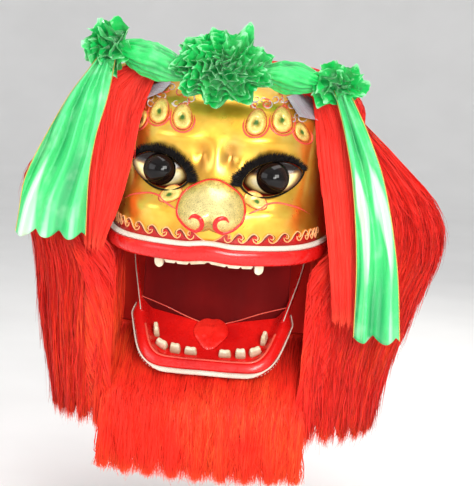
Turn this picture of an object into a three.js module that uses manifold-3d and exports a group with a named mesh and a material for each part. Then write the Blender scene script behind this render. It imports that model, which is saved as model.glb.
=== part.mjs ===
// A northern-style lion dance head, in millimetres, +Z up, with its face towards -Y.
// The origin is the point inside the crown where the head rests on the dancer's own crown.
// A gilded papier-mache shell carries the nose, eyes, brows and upper lip; a hinged scoop is the lower jaw;
// two hanging ears, a long mane and a tied ribbon with a rosette surround the face.
// The jaw is drawn shut and then swung open round its hinge, which is how the head is shown.
import * as THREE from "three";
import { mergeVertices } from "three/addons/utils/BufferGeometryUtils.js";
import Module from "manifold-3d";

const wasm = await Module();
wasm.setup();

// Driving sizes
const GAP = 0.3;
const SEAT_GAP = 0.6;
const SHELL_WALL = 4;
const SHELL_TOP = SHELL_WALL;
const SHOULDER_Z = -105;
const SHELL_SQUARENESS = 2.5;
const LIP_Z = -320;
const JOWL_Z = -366;
const NAPE_Z = -150;
const NOSE_Z = -238;
const EYE = { x: 107, z: -187, half: 56, rise: 31, tilt: 14, iris: 30 };
const LIP = { inside: 8, proud: 14, deep: 30, reach: 84 };
const BEAD_RADIUS = 4.5;
const HINGE = { y: 60, z: -325, pin: 6 };
const JAW_OPEN = 42;
const JAW = { floor: -382, spine: -196, rear: -152, wall: 4, flange: 14 };
const FUR_WALL = 16;
const SATIN = 1.6;

// Horizontal sections of the moulded shell below its shoulder
const SHELL_SECTIONS = [
  { z: -370, half: 204, front: 238, back: 178 },
  { z: -325, half: 212, front: 250, back: 190 },
  { z: -290, half: 210, front: 248, back: 196 },
  { z: -250, half: 206, front: 238, back: 198 },
  { z: -200, half: 206, front: 224, back: 198 },
  { z: -150, half: 206, front: 215, back: 195 },
  { z: -105, half: 203, front: 212, back: 190 },
];

// Swellings and hollows of the face, each a smooth bump on both sides of the middle
const FACE_RELIEF = [
  { name: "brow ridge", x: 92, z: -118, wide: 66, tall: 19, height: 13 },
  { name: "eye socket", x: 104, z: -182, wide: 50, tall: 27, height: -13 },
  { name: "frown dent", x: 27, z: -150, wide: 13, tall: 22, height: -9 },
  { name: "frown bump", x: 0, z: -152, wide: 11, tall: 24, height: 6 },
  { name: "cheek", x: 124, z: -252, wide: 54, tall: 24, height: 24 },
  { name: "muzzle", x: 0, z: -258, wide: 58, tall: 46, height: 18 },
  { name: "lower lid", x: 78, z: -214, wide: 22, tall: 9, height: 5 },
];

// Horizontal sections of the mane: its reach to either side, and how far its front edges stay from the middle
const MANE_SECTIONS = [
  { z: -810, right: 288, left: 280, front: 196, back: 250, edge: 190 },
  { z: -720, right: 316, left: 300, front: 192, back: 270, edge: 196 },
  { z: -640, right: 332, left: 318, front: 184, back: 284, edge: 197 },
  { z: -560, right: 352, left: 338, front: 174, back: 296, edge: 198 },
  { z: -480, right: 382, left: 352, front: 164, back: 302, edge: 202 },
  { z: -400, right: 410, left: 362, front: 158, back: 302, edge: 206 },
  { z: -350, right: 430, left: 374, front: 154, back: 298, edge: 238 },
  { z: -290, right: 436, left: 394, front: 150, back: 292, edge: 238 },
  { z: -230, right: 410, left: 392, front: 146, back: 280, edge: 236 },
  { z: -170, right: 352, left: 352, front: 140, back: 262, edge: 232 },
  { z: -110, right: 288, left: 290, front: 130, back: 240, edge: 224 },
  { z: -62, right: 238, left: 238, front: 116, back: 216, edge: 214 },
];
const MANE_SQUARENESS = 2.2;

// Outline of the nose: distance from its middle at angles measured down from the top
const NOSE_OUTLINE = [
  { degrees: 0, reach: 47 },
  { degrees: 42, reach: 49 },
  { degrees: 80, reach: 62 },
  { degrees: 112, reach: 68 },
  { degrees: 146, reach: 60 },
  { degrees: 180, reach: 46 },
];

// Brow drops of one side: where each hangs on the forehead and how it leans
const BROW_DROPS = [
  { x: 70, z: -82, half: 20, rise: 25, lean: -4 },
  { x: 117, z: -76, half: 20, rise: 25, lean: 8 },
  { x: 155, z: -98, half: 16, rise: 21, lean: 24 },
];

// Lower teeth of one side, in the shut jaw
const LOWER_TEETH = [
  { x: 34, y: -224, wide: 26, deep: 12, tall: 14, turn: 2 },
  { x: 65, y: -222, wide: 22, deep: 14, tall: 19, turn: 6 },
  { x: 93, y: -213, wide: 26, deep: 14, tall: 15, turn: 28 },
  { x: 108, y: -183, wide: 22, deep: 13, tall: 24, turn: 78 },
];

// Half of the jaw's gum ridge seen from above, from its middle to where the arm takes over
const JAW_RIDGE = [
  { share: 0, x: 0, y: -254, z: -361 },
  { share: 0.22, x: 58, y: -254, z: -361 },
  { share: 0.38, x: 97, y: -250, z: -360 },
  { share: 0.52, x: 118, y: -230, z: -358 },
  { share: 0.72, x: 134, y: -184, z: -356 },
  { share: 1, x: 152, y: -116, z: -350 },
];

// Hanging ears: edges of the flap at each height, from root to tip
const EARS = {
  left: [
    { z: 16, inner: -126, outer: -158, y: -124 },
    { z: -24, inner: -144, outer: -244, y: -126 },
    { z: -90, inner: -160, outer: -258, y: -134 },
    { z: -160, inner: -168, outer: -260, y: -148 },
    { z: -240, inner: -184, outer: -256, y: -164 },
    { z: -340, inner: -212, outer: -244, y: -172 },
  ],
  right: [
    { z: 0, inner: 160, outer: 182, y: -116 },
    { z: -60, inner: 180, outer: 244, y: -124 },
    { z: -130, inner: 190, outer: 266, y: -134 },
    { z: -220, inner: 210, outer: 280, y: -152 },
    { z: -320, inner: 230, outer: 292, y: -166 },
    { z: -450, inner: 246, outer: 300, y: -178 },
  ],
};

// Brocade that lines each ear and shows on the forehead: its corners seen from the front
const EAR_LININGS = {
  left: [[-152, -60], [-147.4, -38], [-118, -20], [-104, -26], [-116, -42]],
  right: [[120, -34], [156, -28], [186, -48], [187, -78], [148, -68]],
};

// Satin ribbon: its rosette, the puffs beside it, the knots over the ears and the hanging tails
const ROSETTE = { x: 0, y: -206, z: 10, wide: 92, tall: 68, lean: 22, lobes: 9, backing: 48 };
const PUFFS = {
  left: { from: [-202, -156, 36], to: [-72, -186, -2], thick: 31, folds: 3 },
  right: { from: [70, -184, 10], to: [182, -162, -2], thick: 29, folds: 3 },
};
const KNOTS = {
  left: { x: -222, y: -158, z: 36, wide: 42, tall: 44, turn: -24, lobes: 6, backing: 15 },
  right: { x: 212, y: -160, z: -4, wide: 50, tall: 36, turn: 14, lobes: 6, backing: 15 },
};
const TAILS = {
  left: [
    { z: 14, x: -226, wide: 34, y: -160 },
    { z: -60, x: -254, wide: 74, y: -178 },
    { z: -140, x: -282, wide: 96, y: -184 },
    { z: -230, x: -304, wide: 122, y: -190 },
    { z: -330, x: -310, wide: 134, y: -196 },
  ],
  right: [
    { z: -14, x: 224, wide: 28, y: -158 },
    { z: -90, x: 258, wide: 44, y: -176 },
    { z: -180, x: 288, wide: 60, y: -186 },
    { z: -330, x: 316, wide: 76, y: -200 },
    { z: -480, x: 328, wide: 88, y: -208 },
  ],
};

const COLOURS = {
  gold: { color: 0xd9a02c, roughness: 0.3, metalness: 0.85 },
  noseGold: { color: 0xe9c878, roughness: 0.45, metalness: 0.5 },
  red: { color: 0xc8140f, roughness: 0.25, metalness: 0 },
  cream: { color: 0xf1e3c6, roughness: 0.4, metalness: 0 },
  tooth: { color: 0xefe0ae, roughness: 0.35, metalness: 0 },
  black: { color: 0x0b0908, roughness: 0.12, metalness: 0 },
  fur: { color: 0xe0261a, roughness: 0.9, metalness: 0 },
  lining: { color: 0x6d0806, roughness: 0.9, metalness: 0 },
  satin: { color: 0x1fbf5a, roughness: 0.35, metalness: 0 },
  silver: { color: 0xcfcbd8, roughness: 0.5, metalness: 0.3 },
  braid: { color: 0xe8c04a, roughness: 0.6, metalness: 0.2 },
  steel: { color: 0x9a9a9a, roughness: 0.35, metalness: 0.9 },
};

// Small tools
const clamp = (v, low, high) => Math.min(high, Math.max(low, v));
const mix = (a, b, t) => a + (b - a) * t;
const smooth = (a, b, v) => {
  const t = clamp((v - a) / (b - a), 0, 1);
  return t * t * (3 - 2 * t);
};
const radians = (d) => (d * Math.PI) / 180;
const power = (v, p) => Math.sign(v) * Math.abs(v) ** p;
const foldedDegrees = (turn) => Math.abs(THREE.MathUtils.radToDeg(Math.atan2(Math.sin(turn), Math.cos(turn))));

// A column of a table read at any key, smoothly between its rows
function read(rows, key, column, at) {
  const sorted = [...rows].sort((a, b) => a[key] - b[key]);
  const last = sorted.length - 1;
  const v = clamp(at, sorted[0][key], sorted[last][key]);
  let i = 0;
  while (i < last - 1 && v > sorted[i + 1][key]) i += 1;
  const slope = (j) => {
    const a = sorted[Math.max(0, j - 1)];
    const b = sorted[Math.min(last, j + 1)];
    return (b[column] - a[column]) / (b[key] - a[key]);
  };
  const p = sorted[i];
  const q = sorted[i + 1];
  const h = q[key] - p[key];
  const t = (v - p[key]) / h;
  const t2 = t * t;
  const t3 = t2 * t;
  return (
    (2 * t3 - 3 * t2 + 1) * p[column] +
    (t3 - 2 * t2 + t) * h * slope(i) +
    (3 * t2 - 2 * t3) * q[column] +
    (t3 - t2) * h * slope(i + 1)
  );
}

// A closed solid from its points and faces: equal points become one, flat faces go, and faces point out
function closed(points, faces) {
  const flat = new THREE.BufferGeometry();
  flat.setAttribute("position", new THREE.Float32BufferAttribute(points.flat(), 3));
  flat.setIndex(faces.flat());
  const merged = mergeVertices(flat, 1e-3);
  const at = merged.attributes.position;
  const index = merged.index.array;
  const kept = [];
  let volume = 0;
  const p = [new THREE.Vector3(), new THREE.Vector3(), new THREE.Vector3()];
  for (let i = 0; i < index.length; i += 3) {
    const [a, b, c] = [index[i], index[i + 1], index[i + 2]];
    if (a === b || b === c || c === a) continue;
    kept.push(a, b, c);
    [a, b, c].forEach((n, k) => p[k].fromBufferAttribute(at, n));
    volume += p[0].dot(p[1].cross(p[2]));
  }
  if (volume < 0) for (let i = 0; i < kept.length; i += 3) [kept[i], kept[i + 1]] = [kept[i + 1], kept[i]];
  merged.setIndex(kept);
  return merged;
}

// The solid between two sheets of points that meet row for row; a wrapped sheet closes round on itself
function between(front, back, wrap = false) {
  const across = front.length;
  const along = front[0].length;
  const points = [...front.flat(), ...back.flat()];
  const f = (i, j) => (i % across) * along + j;
  const b = (i, j) => across * along + f(i, j);
  const faces = [];
  const quad = (p, q, r, s) => faces.push([p, q, r], [p, r, s]);
  const columns = wrap ? across : across - 1;
  for (let i = 0; i < columns; i += 1) {
    for (let j = 0; j < along - 1; j += 1) {
      quad(f(i, j), f(i + 1, j), f(i + 1, j + 1), f(i, j + 1));
      quad(b(i, j), b(i, j + 1), b(i + 1, j + 1), b(i + 1, j));
    }
    quad(f(i, 0), b(i, 0), b(i + 1, 0), f(i + 1, 0));
    quad(f(i, along - 1), f(i + 1, along - 1), b(i + 1, along - 1), b(i, along - 1));
  }
  if (!wrap) {
    for (let j = 0; j < along - 1; j += 1) {
      quad(f(0, j), f(0, j + 1), b(0, j + 1), b(0, j));
      const n = across - 1;
      quad(f(n, j), b(n, j), b(n, j + 1), f(n, j + 1));
    }
  }
  return closed(points, faces);
}

// Points of a surface over a grid of two shares from 0 to 1
function grid(surface, across, along, wrap = false) {
  const rows = [];
  for (let i = 0; i < (wrap ? across : across + 1); i += 1) {
    const row = [];
    for (let j = 0; j <= along; j += 1) row.push(surface(i / across, j / along));
    rows.push(row);
  }
  return rows;
}

// The direction square to a surface, from its own slopes
function normalOf(surface, u, v) {
  const step = 1e-3;
  const at = (a, b) => new THREE.Vector3(...surface(a, clamp(b, 0, 1)));
  const du = at(u + step, v).sub(at(u - step, v));
  const dv = at(u, v + step).sub(at(u, v - step));
  return du.cross(dv).normalize();
}

// A sheet of even thickness behind a surface
function sheetBehind(surface, across, along, thickness) {
  const inside = (u, v) => {
    const p = new THREE.Vector3(...surface(u, v));
    return p.addScaledVector(normalOf(surface, u, v), -thickness).toArray();
  };
  return between(grid(surface, across, along), grid(inside, across, along));
}

// A solid drawn through closed loops of points, with flat ends
function loft(loops) {
  const count = loops[0].length;
  const points = loops.flat();
  const faces = [];
  for (let k = 0; k < loops.length - 1; k += 1) {
    for (let i = 0; i < count; i += 1) {
      const a = k * count + i;
      const b = k * count + ((i + 1) % count);
      faces.push([a, b, b + count], [a, b + count, a + count]);
    }
  }
  [0, loops.length - 1].forEach((k) => {
    const centre = points.length;
    points.push([0, 1, 2].map((c) => loops[k].reduce((s, p) => s + p[c], 0) / count));
    for (let i = 0; i < count; i += 1) {
      const a = k * count + i;
      const b = k * count + ((i + 1) % count);
      faces.push(k === 0 ? [centre, b, a] : [centre, a, b]);
    }
  });
  return closed(points, faces);
}

// The lowest value of one coordinate among the flat facets of a grid that cover a place in the other two
function restingOn(rows, [across, along], height, wrap = false) {
  const facets = [];
  const columns = wrap ? rows.length : rows.length - 1;
  for (let i = 0; i < columns; i += 1) {
    const next = rows[(i + 1) % rows.length];
    for (let j = 0; j < rows[i].length - 1; j += 1) {
      const [p, q, r, s] = [rows[i][j], next[j], next[j + 1], rows[i][j + 1]];
      facets.push([p, q, r], [p, r, s]);
    }
  }
  return (a, b, otherwise) => {
    let best = Infinity;
    facets.forEach(([p, q, r]) => {
      const ux = q[across] - p[across];
      const uy = q[along] - p[along];
      const vx = r[across] - p[across];
      const vy = r[along] - p[along];
      const area = ux * vy - vx * uy;
      if (Math.abs(area) < 1e-9) return;
      const m = ((a - p[across]) * vy - vx * (b - p[along])) / area;
      const n = (ux * (b - p[along]) - (a - p[across]) * uy) / area;
      if (m < -1e-6 || n < -1e-6 || m + n > 1 + 1e-6) return;
      best = Math.min(best, p[height] + m * (q[height] - p[height]) + n * (r[height] - p[height]));
    });
    return best === Infinity ? otherwise : best;
  };
}

function solidOf(geometry) {
  const bare = geometry.clone();
  bare.deleteAttribute("normal");
  bare.deleteAttribute("uv");
  const merged = mergeVertices(bare, 1e-3);
  const mesh = new wasm.Mesh({
    numProp: 3,
    vertProperties: new Float32Array(merged.attributes.position.array),
    triVerts: new Uint32Array(merged.index.array),
  });
  return new wasm.Manifold(mesh);
}

function geometryOf(solid) {
  const mesh = solid.getMesh();
  const geometry = new THREE.BufferGeometry();
  geometry.setAttribute("position", new THREE.BufferAttribute(mesh.vertProperties.slice(), 3));
  geometry.setIndex(new THREE.BufferAttribute(mesh.triVerts.slice(), 1));
  return geometry;
}

const fused = (pieces) => geometryOf(pieces.map(solidOf).reduce((all, one) => all.add(one)));
const cut = (body, tools) => geometryOf(tools.map(solidOf).reduce((left, tool) => left.subtract(tool), solidOf(body)));

// A round bar lying along X between two places
function barAlongX(radius, from, to, y, z, sides = 12) {
  const bar = new THREE.CylinderGeometry(radius, radius, Math.abs(to - from), sides);
  bar.rotateZ(Math.PI / 2);
  bar.translate((from + to) / 2, y, z);
  return bar;
}

// The moulded shell
function shellSection(z) {
  const t = clamp((z - SHOULDER_Z) / (SHELL_TOP - SHOULDER_Z), 0, 1);
  const dome = Math.sqrt(Math.max(0, 1 - t ** 2.2));
  const at = Math.min(z, SHOULDER_Z);
  return {
    half: read(SHELL_SECTIONS, "z", "half", at) * dome,
    front: read(SHELL_SECTIONS, "z", "front", at) * dome,
    back: read(SHELL_SECTIONS, "z", "back", at) * dome,
  };
}

function relief(x, z, half) {
  const fade = 1 - smooth(0.76, 1, Math.abs(x) / half);
  const bump = (b, side) => Math.exp(-(((x - side * b.x) / b.wide) ** 2 + ((z - b.z) / b.tall) ** 2));
  const total = FACE_RELIEF.reduce((s, b) => s + b.height * (b.x === 0 ? bump(b, 1) : bump(b, 1) + bump(b, -1)), 0);
  return total * fade;
}

// How far forward the face stands at a place seen from the front
function faceY(x, z) {
  const { half, front } = shellSection(z);
  const share = clamp(Math.abs(x) / Math.max(half, 1), 0, 1);
  const plan = (1 - share ** SHELL_SQUARENESS) ** (1 / SHELL_SQUARENESS);
  return -front * plan - relief(x, z, Math.max(half, 1));
}

// Angles run from the middle of the face towards +X and round the back
function shellPoint(angle, z) {
  const { half, back } = shellSection(z);
  const p = 2 / SHELL_SQUARENESS;
  const x = half * power(Math.sin(angle), p);
  const y = Math.cos(angle) >= 0 ? faceY(x, z) : back * Math.abs(Math.cos(angle)) ** p;
  return [x, y, z];
}

// The shell's lower edge: level along the lip, lower at the jowls that carry the jaw, high at the open nape
function lowerEdge(angle) {
  const turn = foldedDegrees(angle);
  const bow = 5 * Math.exp(-((turn / 5) ** 2));
  const jowl = smooth(92, 106, turn);
  const nape = smooth(122, 150, turn);
  return mix(mix(LIP_Z + bow + 6 * smooth(40, 88, turn), JOWL_Z, jowl), NAPE_Z, nape);
}

function shellSkin(u, v) {
  const s = 2 * u - 1;
  const angle = Math.PI * s * (0.6 + 0.4 * s * s);
  const low = lowerEdge(angle);
  const knee = 0.64;
  const rise = (v - knee) / (1 - knee);
  const z = v < knee ? mix(low, SHOULDER_Z, v / knee) : mix(SHOULDER_Z, SHELL_TOP, Math.sin((Math.PI / 2) * rise));
  return shellPoint(angle, z);
}

const SHELL_ACROSS = 36;
const SHELL_ALONG = 10;
const shellRows = grid(shellSkin, SHELL_ACROSS, SHELL_ALONG, true);
const onShell = restingOn(shellRows, [0, 2], 1, true);
const restY = (x, z) => onShell(x, z, faceY(x, z));

function eyeOutline(side, turn, grow = { side: 0, top: 0, bottom: 0 }) {
  const sine = Math.sin(turn);
  const a = (EYE.half + grow.side) * Math.cos(turn);
  const b = (EYE.rise + (sine > 0 ? grow.top : grow.bottom)) * power(sine, 1.3);
  const tilt = radians(EYE.tilt);
  return [side * (EYE.x + a * Math.cos(tilt) - b * Math.sin(tilt)), EYE.z + a * Math.sin(tilt) + b * Math.cos(tilt)];
}

function faceShell() {
  const holes = [-1, 1].map((side) => {
    const loops = [-260, -120].map((y) =>
      Array.from({ length: 16 }, (_, i) => {
        const [x, z] = eyeOutline(side, (i / 16) * 2 * Math.PI);
        return [x, y, z];
      }),
    );
    return loft(loops);
  });
  return cut(plainShell, holes);
}

// A pad that lies on a face: its outline seen from the front, its front and its back
function pad(outline, centre, front, back, around, rings) {
  const sheet = (depth) =>
    grid(
      (u, v) => {
        const [ex, ez] = outline(u * 2 * Math.PI);
        const x = mix(centre[0], ex, v);
        const z = mix(centre[1], ez, v);
        return [x, depth(x, z, v), z];
      },
      around,
      rings,
      true,
    );
  return between(sheet(front), sheet(back), true);
}

// A pad drawn a little into the shell and trimmed so that it just clears it
const shellInside = (u, v) => {
  if (v > 0.999) return [0, 0, SHELL_TOP - SHELL_WALL];
  const p = new THREE.Vector3(...shellSkin(u, v));
  return p.addScaledVector(normalOf(shellSkin, u, v), -SHELL_WALL).toArray();
};
const plainShell = between(shellRows, grid(shellInside, SHELL_ACROSS, SHELL_ALONG, true), true);
const trimmer = solidOf(plainShell.clone().translate(0, -GAP, 0));
const seated = (geometry) => geometryOf(solidOf(geometry).subtract(trimmer));
const intoFace = (x, z) => restY(x, z) + 1.5;

function nose() {
  const outline = (turn) => {
    const reach = read(NOSE_OUTLINE, "degrees", "reach", foldedDegrees(turn));
    return [reach * Math.sin(turn), NOSE_Z + reach * Math.cos(turn)];
  };
  const domed = (x, z, v) => faceY(x, z) - 8 - 24 * (1 - v ** 2.6) ** 0.75;
  return seated(pad(outline, [0, NOSE_Z], domed, intoFace, 24, 4));
}

const eyeDome = (side, x, z) => {
  const across = (x - side * EYE.x) / 66;
  const up = (z - EYE.z) / 42;
  return faceY(side * EYE.x, EYE.z) + 6 - 18 * Math.max(0, 1 - across * across - up * up);
};

function eyeWhite(side) {
  const trim = { side: -0.7, top: -0.7, bottom: -0.7 };
  const outline = (turn) => eyeOutline(side, turn, trim);
  const front = (x, z) => eyeDome(side, x, z);
  return pad(outline, [side * EYE.x, EYE.z], front, (x, z) => front(x, z) + 6, 16, 2);
}

function iris(side) {
  const centre = [side * (EYE.x + 1), EYE.z + 1];
  const radius = EYE.iris - 3;
  const outline = (turn) => [centre[0] + radius * Math.sin(turn), centre[1] + radius * Math.cos(turn)];
  const front = (x, z, v) => eyeDome(side, x, z) - 2 - 10 * (1 - v * v);
  return pad(outline, centre, front, (x, z) => eyeDome(side, x, z) - 1, 16, 2);
}

// The black rim of an eye, broad above and narrow below
function eyelid(side) {
  const band = (depth) =>
    grid(
      (u, v) => {
        const turn = u * 2 * Math.PI;
        const near = eyeOutline(side, turn, { side: 1, top: 1, bottom: 1 });
        const far = eyeOutline(side, turn, { side: 5, top: 15, bottom: 4 });
        const x = mix(near[0], far[0], v);
        const z = mix(near[1], far[1], v);
        return [x, restY(x, z) - depth, z];
      },
      16,
      1,
      true,
    );
  return seated(between(band(4), band(-1.5), true));
}

function browDrop(side, drop) {
  const lean = radians(drop.lean);
  const outline = (turn) => {
    const a = drop.half * Math.sin(turn) * (1 - 0.18 * Math.cos(turn));
    const b = drop.rise * Math.cos(turn);
    const x = drop.x + a * Math.cos(lean) - b * Math.sin(lean) * 0.6;
    return [side * x, drop.z + b * Math.cos(lean) + a * Math.sin(lean) * -0.6];
  };
  const raised = (x, z, v) => restY(x, z) - 3.5 - 6 * smooth(1, 0.55, v) + 4 * smooth(0.4, 0.1, v);
  return seated(pad(outline, [side * drop.x, drop.z], raised, intoFace, 12, 3));
}

// Places along the upper lip: a point on the shell's lower edge and the way out of it
function lipPlace(angle) {
  const z = lowerEdge(angle);
  const step = 1e-3;
  const edge = (a) => {
    const [x, y] = shellPoint(a, z);
    return new THREE.Vector2(x, y);
  };
  const tangent = edge(angle + step).sub(edge(angle - step)).normalize();
  const at = edge(angle);
  return { x: at.x, y: at.y, z, out: new THREE.Vector2(tangent.y, -tangent.x) };
}

// A loft along the lip of a profile given as steps outwards and upwards
function alongLip(profile, from, to, steps) {
  const loops = [];
  for (let i = 0; i <= steps; i += 1) {
    const share = i / steps;
    const p = lipPlace(radians(mix(from, to, share)));
    loops.push(profile(share).map(([o, up]) => [p.x + p.out.x * o, p.y + p.out.y * o, p.z + up]));
  }
  return loft(loops);
}

function upperLip() {
  const profile = (share) => {
    const end = 0.55 + 0.45 * smooth(0, 0.08, share) * smooth(1, 0.92, share);
    const deep = LIP.deep * end;
    return [
      [-LIP.inside, -SEAT_GAP],
      [LIP.proud * 0.72, -SEAT_GAP],
      [LIP.proud, -deep * 0.3],
      [LIP.proud * 0.9, -deep * 0.7],
      [LIP.proud * 0.4, -deep],
      [-LIP.inside, -deep * 0.94],
    ];
  };
  return alongLip(profile, -LIP.reach, LIP.reach, 22);
}

function lipBead() {
  const ring = (share) => {
    const radius = BEAD_RADIUS * (0.6 + 0.4 * smooth(0, 0.06, share) * smooth(1, 0.94, share));
    return Array.from({ length: 6 }, (_, i) => {
      const turn = ((i + 0.5) / 6) * 2 * Math.PI;
      return [BEAD_RADIUS + 1.8 + radius * Math.cos(turn), BEAD_RADIUS + radius * Math.sin(turn)];
    });
  };
  return alongLip(ring, -LIP.reach, LIP.reach, 22);
}

const TOOTH_BACK = LIP.inside + GAP + 1;

// Incisors moulded as one strip, with a notch between teeth
function upperIncisors() {
  const teeth = 6;
  const profile = (share) => {
    const notch = 3 * smooth(0.3, 0.5, Math.abs(((share * teeth) % 1) - 0.5));
    const foot = -LIP.deep - 8 + notch;
    return [
      [-TOOTH_BACK - 7, -16],
      [-TOOTH_BACK, -16],
      [-TOOTH_BACK, foot],
      [-TOOTH_BACK - 7, foot],
    ];
  };
  return alongLip(profile, -19.4, 19.4, teeth * 3);
}

function upperFang(side) {
  const profile = (share) => {
    const foot = -LIP.deep - 13 - 7 * Math.sin(Math.PI * share);
    return [
      [-TOOTH_BACK - 9, -14],
      [-TOOTH_BACK, -14],
      [-TOOTH_BACK, foot],
      [-TOOTH_BACK - 8, foot],
    ];
  };
  const [near, far] = [20.6, 25.6];
  return side > 0 ? alongLip(profile, near, far, 3) : alongLip(profile, -far, -near, 3);
}

// Cloth of the mouth: a roof from the shell's lower edge that turns down into a gathered curtain at the throat
const CURTAIN_Z = -520;
const ROOF = { reach: 36, half: 148, y: -14, z: -300 };

function mouthLining() {
  const surface = (u, v) => {
    const side = 2 * u - 1;
    const turn = 0.42;
    const arch = 12 * (1 - side * side);
    if (v < turn) {
      const t = v / turn;
      const edge = lipPlace(radians(side * ROOF.reach));
      const inside = SHELL_WALL + 1.2;
      const raised = mix(edge.z + 3, ROOF.z, smooth(0, 0.7, t)) + arch * smooth(0, 0.3, t);
      return [mix(edge.x - inside * edge.out.x, side * ROOF.half, t), mix(edge.y - inside * edge.out.y, ROOF.y, t), raised];
    }
    const t = (v - turn) / (1 - turn);
    const fold = 4 * Math.sin(side * 3 * Math.PI) * smooth(0.05, 0.4, t);
    const y = ROOF.y + 12 * (1 - side * side) * t + fold;
    return [side * ROOF.half, y, mix(ROOF.z, CURTAIN_Z, t) + arch * (1 - t)];
  };
  return sheetBehind(surface, 12, 6, 2);
}

// The jaw, drawn shut. Its skin runs from a spine along its floor out to its gum ridge and lip flange.
function jawRidge(s) {
  const share = Math.abs(s);
  const at = (column) => read(JAW_RIDGE, "share", column, share);
  return [Math.sign(s) * at("x"), at("y"), at("z")];
}

const FLANGE_ENDS = [0.86, 1];

function jawSkin(s, r) {
  const [ex, ey, ez] = jawRidge(s);
  const spineY = mix(JAW.spine, JAW.rear, Math.abs(s) ** 1.2);
  const gum = 0.88;
  const t = Math.min(1, r / gum);
  const x = ex * t;
  const y = mix(spineY, ey, t);
  const z = JAW.floor + (ez - JAW.floor) * smooth(0.8, 1, t);
  if (r <= gum) return [x, y, z];
  const reach = (r - gum) / (1 - gum);
  const width = JAW.flange * (1 - smooth(FLANGE_ENDS[0], FLANGE_ENDS[1], Math.abs(s))) + 2;
  const step = 1e-3;
  const ahead = jawRidge(s + step);
  const behind = jawRidge(s - step);
  const away = new THREE.Vector2(ahead[1] - behind[1], behind[0] - ahead[0]).normalize();
  return [x + away.x * width * reach, y + away.y * width * reach, z - 9 * reach * reach];
}

function openJaw(geometry) {
  geometry.translate(0, -HINGE.y, -HINGE.z);
  geometry.rotateX(radians(JAW_OPEN));
  geometry.translate(0, HINGE.y, HINGE.z);
  return geometry;
}

// A flat lever from the side of the scoop back to the hinge
const HINGE_ARM = { inner: 176, outer: 183 };

function jawArm(side) {
  const places = [
    { y: -150, low: -376, high: -350, inner: 137 },
    { y: -96, low: -372, high: -341, inner: 150 },
    { y: -44, low: -366, high: -332, inner: 162 },
    { y: 20, low: -350, high: -313, inner: 173 },
    { y: 42, low: -344, high: -306, inner: 176 },
    { y: 70, low: -342, high: -308, inner: 176 },
    { y: 80, low: -333, high: -317, inner: 176 },
  ];
  const thick = HINGE_ARM.outer - HINGE_ARM.inner;
  const loops = places.map(({ y, low, high, inner }) => [
    [side * inner, y, low],
    [side * (inner + thick), y, low],
    [side * (inner + thick), y, high],
    [side * inner, y, high],
  ]);
  return loft(loops);
}

const JAW_ACROSS = 22;
const jawRows = grid((u, v) => jawSkin(2 * u - 1, [0, 0.44, 0.7, 0.79, 0.88, 0.94, 1][Math.round(v * 6)]), JAW_ACROSS, 6);

function jawScoop() {
  const under = jawRows.map((row) => row.map(([x, y, z]) => [x, y, z - JAW.wall]));
  const scoop = between(jawRows, under);
  const arms = [-1, 1].map(jawArm);
  const holes = [-1, 1].map((side) => barAlongX(HINGE.pin + 0.4, side * 165, side * 195, HINGE.y, HINGE.z));
  return openJaw(cut(fused([scoop, ...arms]), holes));
}

function jawBead() {
  const steps = 20;
  const reach = 0.96;
  const loops = [];
  for (let i = 0; i <= steps; i += 1) {
    const s = mix(-reach, reach, i / steps);
    const ahead = new THREE.Vector3(...jawSkin(s + 1e-3, 1));
    const behind = new THREE.Vector3(...jawSkin(s - 1e-3, 1));
    const along = ahead.sub(behind).normalize();
    const out = new THREE.Vector3(along.y, -along.x, 0).normalize();
    const centre = new THREE.Vector3(...jawSkin(s, 1)).addScaledVector(out, BEAD_RADIUS + 1.2);
    const ring = Array.from({ length: 6 }, (_, k) => {
      const turn = ((k + 0.5) / 6) * 2 * Math.PI;
      const p = centre.clone().addScaledVector(out, BEAD_RADIUS * Math.cos(turn));
      return [p.x, p.y, p.z - 2 + BEAD_RADIUS * Math.sin(turn)];
    });
    loops.push(ring);
  }
  return openJaw(loft(loops));
}

// The jaw's own floor seen from above, which carries the teeth and the tongue
const jawTop = (() => {
  const down = restingOn(
    jawRows.map((row) => row.map(([x, y, z]) => [x, y, -z])),
    [0, 1],
    2,
  );
  return (x, y) => -down(x, y, -JAW.floor);
})();

function lowerTooth(side, tooth) {
  const block = new THREE.BoxGeometry(tooth.wide, tooth.deep, tooth.tall, 2, 1, 1);
  const at = block.attributes.position;
  const turned = radians(side * tooth.turn);
  for (let i = 0; i < at.count; i += 1) {
    const top = at.getZ(i) > 0;
    const x = at.getX(i) * (top ? 0.8 : 1);
    const y = at.getY(i) * (top ? 0.64 : 1);
    const px = side * tooth.x + x * Math.cos(turned) - y * Math.sin(turned);
    const py = tooth.y + x * Math.sin(turned) + y * Math.cos(turned);
    const round = top && Math.abs(x) > 1 ? 2.5 : 0;
    const z = top ? JAW.floor + tooth.tall + 4 - round : jawTop(px, py) + SEAT_GAP;
    at.setXYZ(i, px, py, z);
  }
  return openJaw(block);
}

function tongue() {
  const centre = [0, -176];
  const outline = (turn) => {
    const down = Math.cos(turn);
    const wide = 35 * (1 - 0.42 * smooth(-0.2, 1, down));
    return [wide * power(Math.sin(turn), 0.7), centre[1] - 38 * down];
  };
  const sheet = (height) =>
    grid(
      (u, v) => {
        const [ex, ey] = outline(u * 2 * Math.PI);
        const x = mix(centre[0], ex, v);
        const y = mix(centre[1], ey, v);
        return [x, y, height(x, y, v)];
      },
      16,
      3,
      true,
    );
  const base = (x, y) => jawTop(x, y) + SEAT_GAP;
  const top = (x, y, v) => base(x, y) + 3 + 7 * (1 - v * v) - 2.5 * Math.exp(-((x / 5) ** 2));
  return openJaw(between(sheet(top), sheet(base), true));
}

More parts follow.
